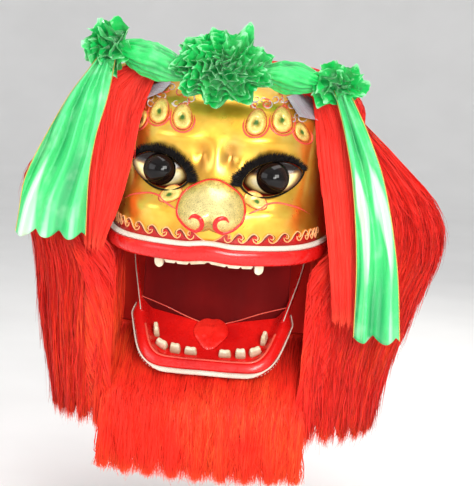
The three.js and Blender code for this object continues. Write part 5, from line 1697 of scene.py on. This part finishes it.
PANELS = {
    "mane_right": {"place": mane_panel(None, 112, -700, 8), "locks": 8, "strands": 9500, "dark": 2200,
                   "seed": 31, "flare": 5, "lift": 5},
    "mane_back": {"place": mane_panel(112 + SEAM, 248 - SEAM, -720, 9), "locks": 9, "strands": 5600,
                  "dark": 1000, "seed": 32, "flare": 2, "lift": 3},
    "mane_left": {"place": mane_panel(248, None, -700, 8), "locks": 8, "strands": 9500, "dark": 1000,
                  "seed": 33, "flare": 5, "lift": 5},
}
for name, panel in PANELS.items():
    place, locks, flare, lift = (panel[key] for key in ("place", "locks", "flare", "lift"))
    under_layer(f"{name}_mass", place, locks, 96, 44, MANE_HAIR, FUR_WALL, "fur", (name,))
    strands(f"{name}_strands", place, locks, panel["strands"], MANE_HAIR, panel["seed"], (0.22, 0.5),
            start=(0.0, 0.93), lift=(0.5, lift), hem=0.11, flare=flare, limits=(-0.01, 1.01))
    strands(f"{name}_dark_tips", place, locks, panel["dark"], DARK_TIPPED_HAIR, panel["seed"] + 10,
            (0.14, 0.3), start=(0.15, 0.9), lift=(2, lift + 2), flare=2.4 * flare, wander=0.02,
            clump=0.85, overhang=0.04, hem=0.10)

# %% Loose strands that drift from the mane's front edges towards the jaw
JOWL = {"top": -290, "bottom": -640, "long": 230, "beside": 187, "spread": 30, "below": 80}


def scattered(u, factor):
    """A share from 0 to 1 that jumps about as u grows."""
    return (u * factor) % 1


def held_above(z, level, give):
    """Heights below a level are drawn back towards it."""
    return np.where(z < level, level + give * (z - level), z)


def jowl_place(side):
    """u runs down the mane's edge, and v along a strand that hangs and drifts inwards."""
    def place(u, v, lift=0.0):
        spread = scattered(u, 977.7)
        start = mix(JOWL["top"], JOWL["bottom"], u)
        z = start - JOWL["long"] * v * mix(0.6, 1.0, scattered(u, 613.1))
        z = held_above(z, -780, 0.3)
        first = read(MANE, "edge", start) + 8 + 40 * spread
        drift = JOWL["below"] * (0.2 + 0.8 * spread) * smooth(-570, -720, z)
        last = JOWL["beside"] + JOWL["spread"] * spread - drift
        x = mix(first, last, smooth(0, 0.55, v))
        y = mane_front_y(first, start) - 5 - 8 * np.sin(math.pi * np.clip(v, 0, 1)) - lift
        return np.stack([side * x, y, z], -1)
    return place


def throat_side(side):
    """The hair inside, between the mane's front edge and the curtain of the mouth."""
    def place(u, v, lift=0.0):
        deep, near = scattered(u, 741.3), scattered(u, 359.9)
        z = mix(-350, -640, u) - 190 * v
        x = 189 + 8 * near + 3 * np.sin(4 * v + 9 * near) - lift
        return np.stack([side * x, mix(-138, -6, deep) - 6 * v, np.maximum(z, -800)], -1)
    return place


for label, side in (("left", -1), ("right", 1)):
    strands(f"jowl_{label}_strands", jowl_place(side), 8, 2600, MANE_HAIR, 71 + side, (0.6, 1.0),
            start=(0.0, 0.05), clump=0.0, wander=0.0, lift=(0.5, 6), flare=4, steps=5)
    strands(f"throat_{label}_strands", throat_side(side), 8, 1900, RUFF_HAIR, 75 + side, (0.5, 1.0),
            start=(0.0, 0.1), clump=0.0, wander=0.0, lift=(-2, 2), flare=1)

# %% Crown and ruff
CROWN = {"front": -8, "back": -70, "spread": 3.6, "lift": 13, "locks": 11}


def crown_place(u, v, lift=0.0):
    """v runs here from the top of the crown down to its edge."""
    angle = (2 * u - 1) * math.pi
    v = 1 - np.asarray(v, float)
    over = np.maximum(-v, 0)
    v = np.clip(v, 0, 1)
    behind = smooth(38, 86, folded_degrees(angle))
    low = mix(CROWN["front"], CROWN["back"], behind)
    rise = np.sin(math.pi / 2 * v)
    z = mix(low, SHELL_TOP, rise)
    half, front, rear = shell_section(np.minimum(z, SHELL_TOP - 0.01))
    far = np.sqrt(np.maximum(0, 1 - rise**2.2))
    grow = CROWN["lift"] + lock_ridge(CROWN["locks"], u, 1 - v) * 0.6 + lift
    p = 2 / SHELL_SQUARENESS

    def reach(close, wide):
        return mix(close + grow, (wide + CROWN["spread"]) * far + grow, behind)
    x = reach(half, mane_reach(np.sin(angle), CROWN["back"])) * power(np.sin(angle), p)
    ahead, hind = -reach(front, front), reach(rear, read(MANE, "back", CROWN["back"]))
    y = np.where(np.cos(angle) >= 0, ahead, hind) * np.abs(np.cos(angle)) ** p
    top = smooth(0.9, 1.0, v)
    z = z + grow * smooth(low, SHELL_TOP, z) - mix(6, 80, behind) * over
    return np.stack([x * (1 - top), y * (1 - top), z], -1)


under_layer("crown_mass", crown_place, CROWN["locks"], 110, 18, MANE_HAIR, 10, "fur", ("crown_fur",),
            wrap=True)
strands("crown_strands", crown_place, CROWN["locks"], 4400, MANE_HAIR, 41, (0.3, 0.9), start=(0.05, 0.95),
        lift=(0.5, 5), flare=-1, overhang=0.9)


RUFF = {"half": 191.2, "low": -790, "locks": 8, "tip_fall": 260, "back": -26, "bow": 30}


def ruff_place(u, v, lift=0.0):
    side = 2 * u - 1
    tall = np.minimum(v, 1.0)
    low = RUFF["low"] + TUFT * (1 - jagged(RUFF["locks"], np.clip(u, 0, 1)))
    z = mix(CURTAIN_Z - 1, low, tall) - RUFF["tip_fall"] * np.maximum(v - 1, 0)
    z = held_above(z, -785, 0.5)
    forward = mane_front_y(RUFF["half"], z) - 4
    tuck = mix(RUFF["back"], forward - RUFF["bow"] * (1 - side * side), smooth(0, 0.5, v))
    return np.stack([side * RUFF["half"], tuck - lock_ridge(RUFF["locks"], u, tall) - lift, z], -1)


under_layer("ruff_mass", ruff_place, RUFF["locks"], 96, 40, RUFF_HAIR, FUR_WALL, "fur", ("throat_ruff",))
strands("ruff_strands", ruff_place, RUFF["locks"], 8500, RUFF_HAIR, 51, (0.35, 0.8), start=(0.0, 0.75),
        lift=(0.5, 9), hem=0.2, flare=4, wander=0.016, limits=(-0.02, 1.02))

# %% [markdown]
# ## Ears
# The ears hang as long combed flaps. A scrap of silver brocade lines each one where it is sewn to the
# brow, and a twist of gold braid runs down its outer edge.

# %% Ear flaps
EARS = {
    "left": table("z inner outer y", (16, -126, -158, -124), (-24, -144, -244, -126), (-90, -160, -258, -134),
                  (-160, -168, -260, -148), (-240, -184, -256, -164), (-340, -212, -244, -172)),
    "right": table("z inner outer y", (0, 160, 182, -116), (-60, 180, 244, -124), (-130, 190, 266, -134),
                   (-220, 210, 280, -152), (-320, 230, 292, -166), (-450, 246, 300, -178)),
}
EAR_ROOT = {"z": -44, "tall": 36, "tuck": 15}
EAR_LOCKS = 4


def clear_of_head(x, z):
    return np.minimum(face_y(x, z) - 22, mane_front_y(x, z) - 24)


def ear_place(label):
    rows = EARS[label]
    top, tip = rows["z"][-1], rows["z"][0]

    def place(u, v, lift=0.0):
        tall = np.minimum(v, 1.0)
        side = np.clip(u, 0, 1)
        low = tip + 30 * (1 - jagged(EAR_LOCKS, side)) * smooth(0.6, 1, tall)
        z = mix(top, low, tall) - 200 * np.maximum(v - 1, 0)
        x = mix(read(rows, "inner", z), read(rows, "outer", z), u)
        bulge = 10 * (1 - (2 * side - 1) ** 2)
        root = np.exp(-(((z - EAR_ROOT["z"]) / EAR_ROOT["tall"]) ** 2))
        tuck = EAR_ROOT["tuck"] * smooth(0.5, 0, side) * root
        y = np.minimum(read(rows, "y", z), clear_of_head(x, z)) + tuck - bulge
        return np.stack([x, y - 0.7 * lock_ridge(EAR_LOCKS, side, tall) - lift, z], -1)
    return place


for label in ("left", "right"):
    place = ear_place(label)
    under_layer(f"ear_{label}_mass", place, EAR_LOCKS, 44, 48, EAR_HAIR, 7, "fur", (f"ear_{label}",))
    strands(f"ear_{label}_strands", place, EAR_LOCKS, 5500, EAR_HAIR, 61 + len(label), (0.35, 0.8),
            start=(0.0, 0.75), width=(0.9, 1.7), lift=(0.3, 4.5), flare=3, wander=0.03,
            limits=(-0.06, 1.06), hem=0.16)

# %% Brocade lining, puffed a little over the face
LININGS = {
    "left": [(-152, -60), (-147.4, -38), (-118, -20), (-104, -26), (-116, -42)],
    "right": [(120, -34), (156, -28), (186, -48), (187, -78), (148, -68)],
}
for label, corners in LININGS.items():
    corners = np.array(corners, float)
    middle = corners.mean(axis=0)
    rim = np.concatenate([mix(a, b, np.linspace(0, 1, 16, endpoint=False)[:, None])
                          for a, b in zip(corners, np.roll(corners, -1, axis=0))])

    def slope(step):
        """How much the face falls back for each millimetre, from one side of the middle to the other."""
        return float(face_y(*(middle + step)) - face_y(*(middle - step))) / 16
    slope_x, slope_z = slope(np.array([8, 0])), slope(np.array([0, 8]))
    rest = float(face_y(*middle))

    def patch(u, v):
        at = (u * len(rim)).astype(int) % len(rim)
        x, z = mix(middle[0], rim[at, 0], v), mix(middle[1], rim[at, 1], v)
        puffed = 5.2 - 1.4 * v**6 + 0.9 * cloud(np.stack([x, z], -1), 14, 6)
        plane = rest + slope_x * (x - middle[0]) + slope_z * (z - middle[1])
        return np.stack([x, plane - puffed, z], -1)
    front = grid(patch, len(rim), 16, wrap=True)
    points, faces = between(front, front + [0, 1.2, 0], wrap=True)
    cloth = dress(build(f"brocade_{label}", points, faces, BROCADE), "head", "brocade", f"ear_lining_{label}")

# %% Twisted braid down the ear
TWIST = {"long": 92, "aside": 5, "turns": 8, "reach": 2.2, "strand": 2.3}
for label in ("left", "right"):
    rows = EARS[label]
    top = rows["z"][-1]
    z = np.linspace(top - 1, top - 1 - TWIST["long"], 120)
    outer_x = read(rows, "outer", z)
    x = outer_x + np.sign(outer_x) * TWIST["aside"]
    y = np.minimum(read(rows, "y", z), clear_of_head(outer_x, z)) - 2.5
    middle = np.stack([x, y, z], -1)
    braid = Pile()
    for start in np.arange(3) * 2 * math.pi / 3:
        turn = start + np.linspace(0, 2 * math.pi * TWIST["turns"], len(z))
        strand = middle + TWIST["reach"] * np.stack([np.cos(turn), np.sin(turn), 0 * turn], -1)
        braid.add(*rod(strand, TWIST["strand"], TWIST["strand"]))
    dress(braid.build(f"braid_{label}", BRAID), "head", "braid", f"ear_braid_{label}")

# %% [markdown]
# ## Satin ribbon
# One long ribbon of thin green satin is knotted over each ear, puffed between the knots and gathered
# into a rosette over the brow. A rosette is rows of ribbon, each pulled up along one edge so that the
# other edge frills. The frills here are swept surfaces whose waves grow towards the free edge, which is
# what gathering does to real cloth.

# %% A core, as in the solid, and rows of frills standing on it
ROSETTE = {"x": 0, "y": -206, "z": 10, "wide": 92, "tall": 68, "lean": 22, "turn": 0, "lobes": 9,
           "deep": 44}
KNOTS = {
    "left": {"x": -222, "y": -158, "z": 36, "wide": 42, "tall": 44, "lean": 0, "turn": -24, "lobes": 6,
             "deep": 22},
    "right": {"x": 212, "y": -160, "z": -4, "wide": 50, "tall": 36, "lean": 0, "turn": 14, "lobes": 6,
              "deep": 22},
}


def stand(points, ruffle):
    """Leans and turns a ruffle's points, and puts them in place."""
    lean, turn = math.radians(-ruffle["lean"]), math.radians(ruffle["turn"])
    x, y, z = points[..., 0], points[..., 1], points[..., 2]
    y, z = y * math.cos(lean) - z * math.sin(lean), y * math.sin(lean) + z * math.cos(lean)
    x, y = x * math.cos(turn) - y * math.sin(turn), x * math.sin(turn) + y * math.cos(turn)
    return np.stack([x + ruffle["x"], y + ruffle["y"], z + ruffle["z"]], -1)


def core(ruffle, u, v, sunk=0.0):
    angle = u * 2 * math.pi
    lobes = ruffle["lobes"]
    wave = np.cos(lobes * angle + 2.4 * v) * smooth(0.15, 0.8, v)
    inner = np.cos((lobes - 3) * angle + 5 * v) * smooth(0.1, 0.4, v) * smooth(0.9, 0.5, v)
    reach = v * (1 + 0.12 * wave) * 0.96
    depth = -ruffle["deep"] * (1 - v * v * 0.8) + 8 * wave + 6 * inner + 9 + sunk
    return np.stack([reach * ruffle["wide"] * np.sin(angle), depth,
                     reach * ruffle["tall"] * np.cos(angle)], -1)


def frill(ruffle, share, waves, tall, seed, spikes=()):
    """One gathered row: it stands on the core part of the way out, and frills towards its free edge."""
    across, along = 12 * waves, 9
    u, t = np.meshgrid(np.linspace(0, 1, across + 1), np.linspace(0, 1, along + 1), indexing="ij")
    angle = u * 2 * math.pi
    away = np.stack([np.sin(angle), 0 * angle, np.cos(angle)], -1)
    aside = np.stack([np.cos(angle), 0 * angle, -np.sin(angle)], -1)
    outward = np.array(FRONT, float)
    way = away * (0.2 + 0.75 * share) + outward * (1.15 - 0.75 * share)
    way /= np.linalg.norm(way, axis=-1, keepdims=True)
    round_trip = np.stack([np.cos(angle), np.sin(angle), 0 * t], -1)
    uneven = 1 + 0.28 * cloud(round_trip * 2.2, 1.0, seed)
    for at, wide, extra in spikes:
        gap = np.abs(np.angle(np.exp(1j * (angle - math.radians(at)))))
        uneven = uneven + extra * np.exp(-((gap / math.radians(wide)) ** 2))
    shift = 2.2 * cloud(round_trip * 1.6, 1.0, seed + 1) + 0.9 * t
    wave = np.sin(waves * angle + shift)
    sideways = np.cos(waves * angle + shift + 0.6)
    second = np.sin((2 * waves + 3) * angle + 2.0 * shift + 1.3 * seed)
    size = 2.3 * tall / waves**0.5 * 0.34 * t**0.9
    points = core(ruffle, u, share + 0 * t, 3.0) + way * (tall * uneven * t)[..., None]
    points = points + away * (size * wave)[..., None] + aside * (0.75 * size * sideways)[..., None]
    points = points + outward * (0.30 * size * second)[..., None]
    crinkle = 1 - np.abs(cloud(points, 9.0, seed + 2)) * 2
    fine = 1 - np.abs(cloud(points, 4.5, seed + 3)) * 2
    points = points + way * ((2.2 * crinkle + 1.2 * fine) * t)[..., None] + away * (1.4 * fine * t)[..., None]
    # Painted light: the crest mark is paler on the waves' crests and at the free edge, and darker in the
    # troughs.
    free_edge = 0.3 * smooth(0.86, 1.0, t)
    crest = np.clip(0.2 + 0.4 * t + 0.25 * wave + 0.22 * crinkle + 0.16 * fine + free_edge, 0, 1)
    return stand(points, ruffle), crest


def gathered(name, ruffle, rows, finish, node, seed):
    pile = Pile()
    core_points = stand(grid(lambda u, v: core(ruffle, u, v, 2.0), 90, 24, wrap=True), ruffle)
    # Painted shade: the core between the rows takes the dark colour of the folds.
    pile.add(core_points, quads(*core_points.shape[:2], wrap=True), crest=0.1)
    for k, (share, waves, tall, *spikes) in enumerate(rows):
        points, crest = frill(ruffle, share, waves, tall, seed + 3 * k, spikes)
        pile.add(points, quads(*points.shape[:2]), crest=crest.ravel())
    made = dress(pile.build(name, finish, weld=False), "head", "satin", node)
    print(name, triangles(made), "triangles")
    return made


# Where each row stands on its core, its number of waves and its height, and then its long points: the
# direction in degrees, half the width and the extra height of each.
ROSETTE_ROWS = [
    (0.05, 5, 24), (0.17, 8, 24), (0.29, 11, 24), (0.41, 13, 24), (0.53, 16, 24),
    (0.64, 18, 23, (28, 7, 0.6)),
    (0.75, 20, 21, (26, 6, 1.2), (300, 12, 0.2)),
    (0.86, 22, 16, (24, 5, 1.4), (255, 14, 0.3)),
]
gathered("rosette_frills", ROSETTE, ROSETTE_ROWS, SATIN, "ribbon_rosette", 100)
KNOT_ROWS = {
    "left": [(0.12, 4, 24), (0.34, 6, 25, (20, 14, 0.5)), (0.58, 7, 24, (26, 12, 0.9)),
             (0.82, 9, 19, (28, 10, 1.2))],
    "right": [(0.12, 4, 22), (0.34, 6, 23), (0.58, 7, 21, (60, 18, 0.5)), (0.82, 9, 17, (95, 16, 0.6))],
}
for k, (label, rows) in enumerate(KNOT_ROWS.items()):
    gathered(f"knot_{label}_folds", KNOTS[label], rows, SATIN, f"ribbon_knot_{label}", 140 + 20 * k)

# %% Puffs: pleated where they are pulled in, smooth and full between
PUFFS = {
    "left": {"from": (-202, -156, 36), "to": (-72, -186, -2), "thick": 31},
    "right": {"from": (70, -184, 10), "to": (182, -162, -2), "thick": 29},
}
for k, (label, puff) in enumerate(PUFFS.items()):
    start, end = np.array(puff["from"], float), np.array(puff["to"], float)
    outward = np.array(FRONT, float)
    upward = unit(np.cross(end - start, outward))

    def puffed(u, v):
        turn = 2 * math.pi * v
        full = np.sin(math.pi * np.clip(u, 0, 1))
        swell, ends = 0.34 + 0.66 * full**0.7, 1 - full**0.6
        pleat = 0.10 * np.cos(3 * turn + 1.5 * u)
        pleat = pleat + (0.05 + 0.13 * ends) * np.sin(14 * turn + 4 * np.sin(3 * u + k))
        spot = np.stack([u * 3.0, np.cos(turn), np.sin(turn)], -1)
        dents = 0.10 * (1 - 2 * np.abs(cloud(spot * 1.3, 1.0, 70 + k)))
        dents = dents + 0.05 * (1 - 2 * np.abs(cloud(spot * 3.1, 1.0, 75 + k)))
        reach = puff["thick"] * swell * (1 + pleat + dents - 0.04)
        # Painted light: paler where the pleats and dents stand out, and darker where they sink in.
        crest = np.clip(0.30 + 1.8 * pleat + 1.6 * dents, 0, 1)
        rise, forward = reach * np.sin(turn), 0.78 * reach * np.cos(turn)
        middle = start + (end - start) * u[..., None]
        return middle + upward * rise[..., None] + outward * forward[..., None], crest
    u, v = np.meshgrid(np.linspace(0, 1, 41), np.linspace(0, 1, 84, endpoint=False), indexing="ij")
    rings, crest = puffed(u, v)
    points, faces = lofted(rings)
    crest = np.concatenate([crest.ravel(), [0.2, 0.2]])
    made = dress(build(f"puff_{label}_cloth", points, faces, SATIN, {"crest": crest}), "head", "satin",
                 f"ribbon_puff_{label}")

# %% Tails: flat ribbon hanging in long soft folds
TAILS = {
    "left": table("z x wide y", (14, -226, 34, -160), (-60, -254, 74, -178), (-140, -282, 96, -184),
                  (-230, -304, 122, -190), (-330, -310, 134, -196)),
    "right": table("z x wide y", (-14, 224, 28, -158), (-90, 258, 44, -176), (-180, 288, 60, -186),
                   (-330, 316, 76, -200), (-480, 328, 88, -208)),
}
for label, folds in (("left", 3), ("right", 2)):
    rows = TAILS[label]
    top, end = rows["z"][-1], rows["z"][0]

    def bands(u, v):
        """Where across the ribbon each fold stands: they fan out and wander, so no two are alike."""
        drift = 0.10 * np.sin(3.1 * v + folds) + 0.05 * np.sin(7.0 * v + 2 * u)
        drift = drift + 0.06 * cloud(np.stack([u * 2, v * 2], -1), 1.0, 81)
        return 2 * math.pi * folds * (u**0.85 + drift)

    def hanging(u, v):
        scallop = 15 * np.abs(np.sin(math.pi * folds * u + 0.5)) * smooth(0.85, 1, v)
        z = mix(top, end + 12, v) - scallop
        x = read(rows, "x", z) + (u - 0.5) * read(rows, "wide", z)
        deep = mix(6, 9, v) * np.cos(bands(u, v))
        small = 1.8 * np.sin(2.3 * bands(u, v) + 3 * v) * smooth(0.0, 0.5, v)
        spot = np.stack([u * 3.5, v * 3.2 + u * 1.5], -1)
        crumple = 4.0 * (1 - 2 * np.abs(cloud(spot, 1.0, 82))) + 1.3 * cloud(spot * 3, 1.0, 83)
        return np.stack([x, read(rows, "y", z) - 16 + deep + small + crumple, z], -1)
    front = grid(hanging, 60, 64)
    points, faces = between(front, front + [0, 0.9, 0])
    u, v = np.meshgrid(np.linspace(0, 1, 61), np.linspace(0, 1, 65), indexing="ij")
    # Painted highlights: the left tail pales towards its lower left, and the right one across its middle.
    if label == "left":
        painted_highlight = smooth(0.45, 1.0, v) * smooth(0.85, 0.2, u)
    else:
        painted_highlight = smooth(0.2, 0.5, v) * smooth(0.9, 0.45, v)
    streaks = cloud(np.stack([u * 9 + 2 * v, v * 1.6], -1), 1.0, 86)
    # Painted light: darker in the sunken folds and paler where the highlights are painted. The streaks and
    # clouds are random tone.
    crest = 0.42 - 0.22 * np.cos(bands(u, v)) + 0.60 * painted_highlight + 0.24 * streaks
    crest = np.clip(crest + 0.18 * cloud(np.stack([u * 5, v * 4], -1), 1.0, 85), 0, 1)
    made = build(f"tail_{label}_cloth", points, faces, PALE_SATIN, {"crest": np.tile(crest.ravel(), 2)})
    dress(made, "head", "satin", f"ribbon_tail_{label}")

    edging = Pile()
    for edge in (front[0], front[-1]):
        edging.add(*rod(edge + [0, -0.6, 0], 0.9, 0.7, FRONT, 6))
    dress(edging.build(f"tail_{label}_edging", BRAID), "head", "braid")

# %% [markdown]
# ## Floor
# The floor is a wide pale sweep well below the hair. It bends up far away, as studio paper does, so no
# edge shows.

# %% Floor
FLOOR_Z = -0.97
FLOOR = {"flat": 5000, "bend": 2500, "wall": 7000}
floor_paint = start_finish("pale_floor")
dust = grain(floor_paint, 3, 2)
into(floor_paint, "Base Color", ramp(floor_paint, dust, [(0.3, 0.86), (0.7, 0.90)]))
patchy_shine(floor_paint, 5, 2, 0.8, 0.95)
turn = np.linspace(0, 2 * math.pi, 97)
bend = np.linspace(0, math.pi / 2, 12)
reach = [[1.0, 2000.0], FLOOR["flat"] + FLOOR["bend"] * np.sin(bend), [FLOOR["flat"] + FLOOR["bend"]]]
reach = np.concatenate(reach)
height = FLOOR_Z / MM + np.concatenate([[0, 0], FLOOR["bend"] * (1 - np.cos(bend)), [FLOOR["wall"]]])
bowl = np.stack([np.stack([r * np.cos(turn), r * np.sin(turn), np.full_like(turn, h)], -1)
                 for r, h in zip(reach, height)])
floor = build("pale_floor", bowl, quads(len(reach), len(turn))[:, ::-1], floor_paint)
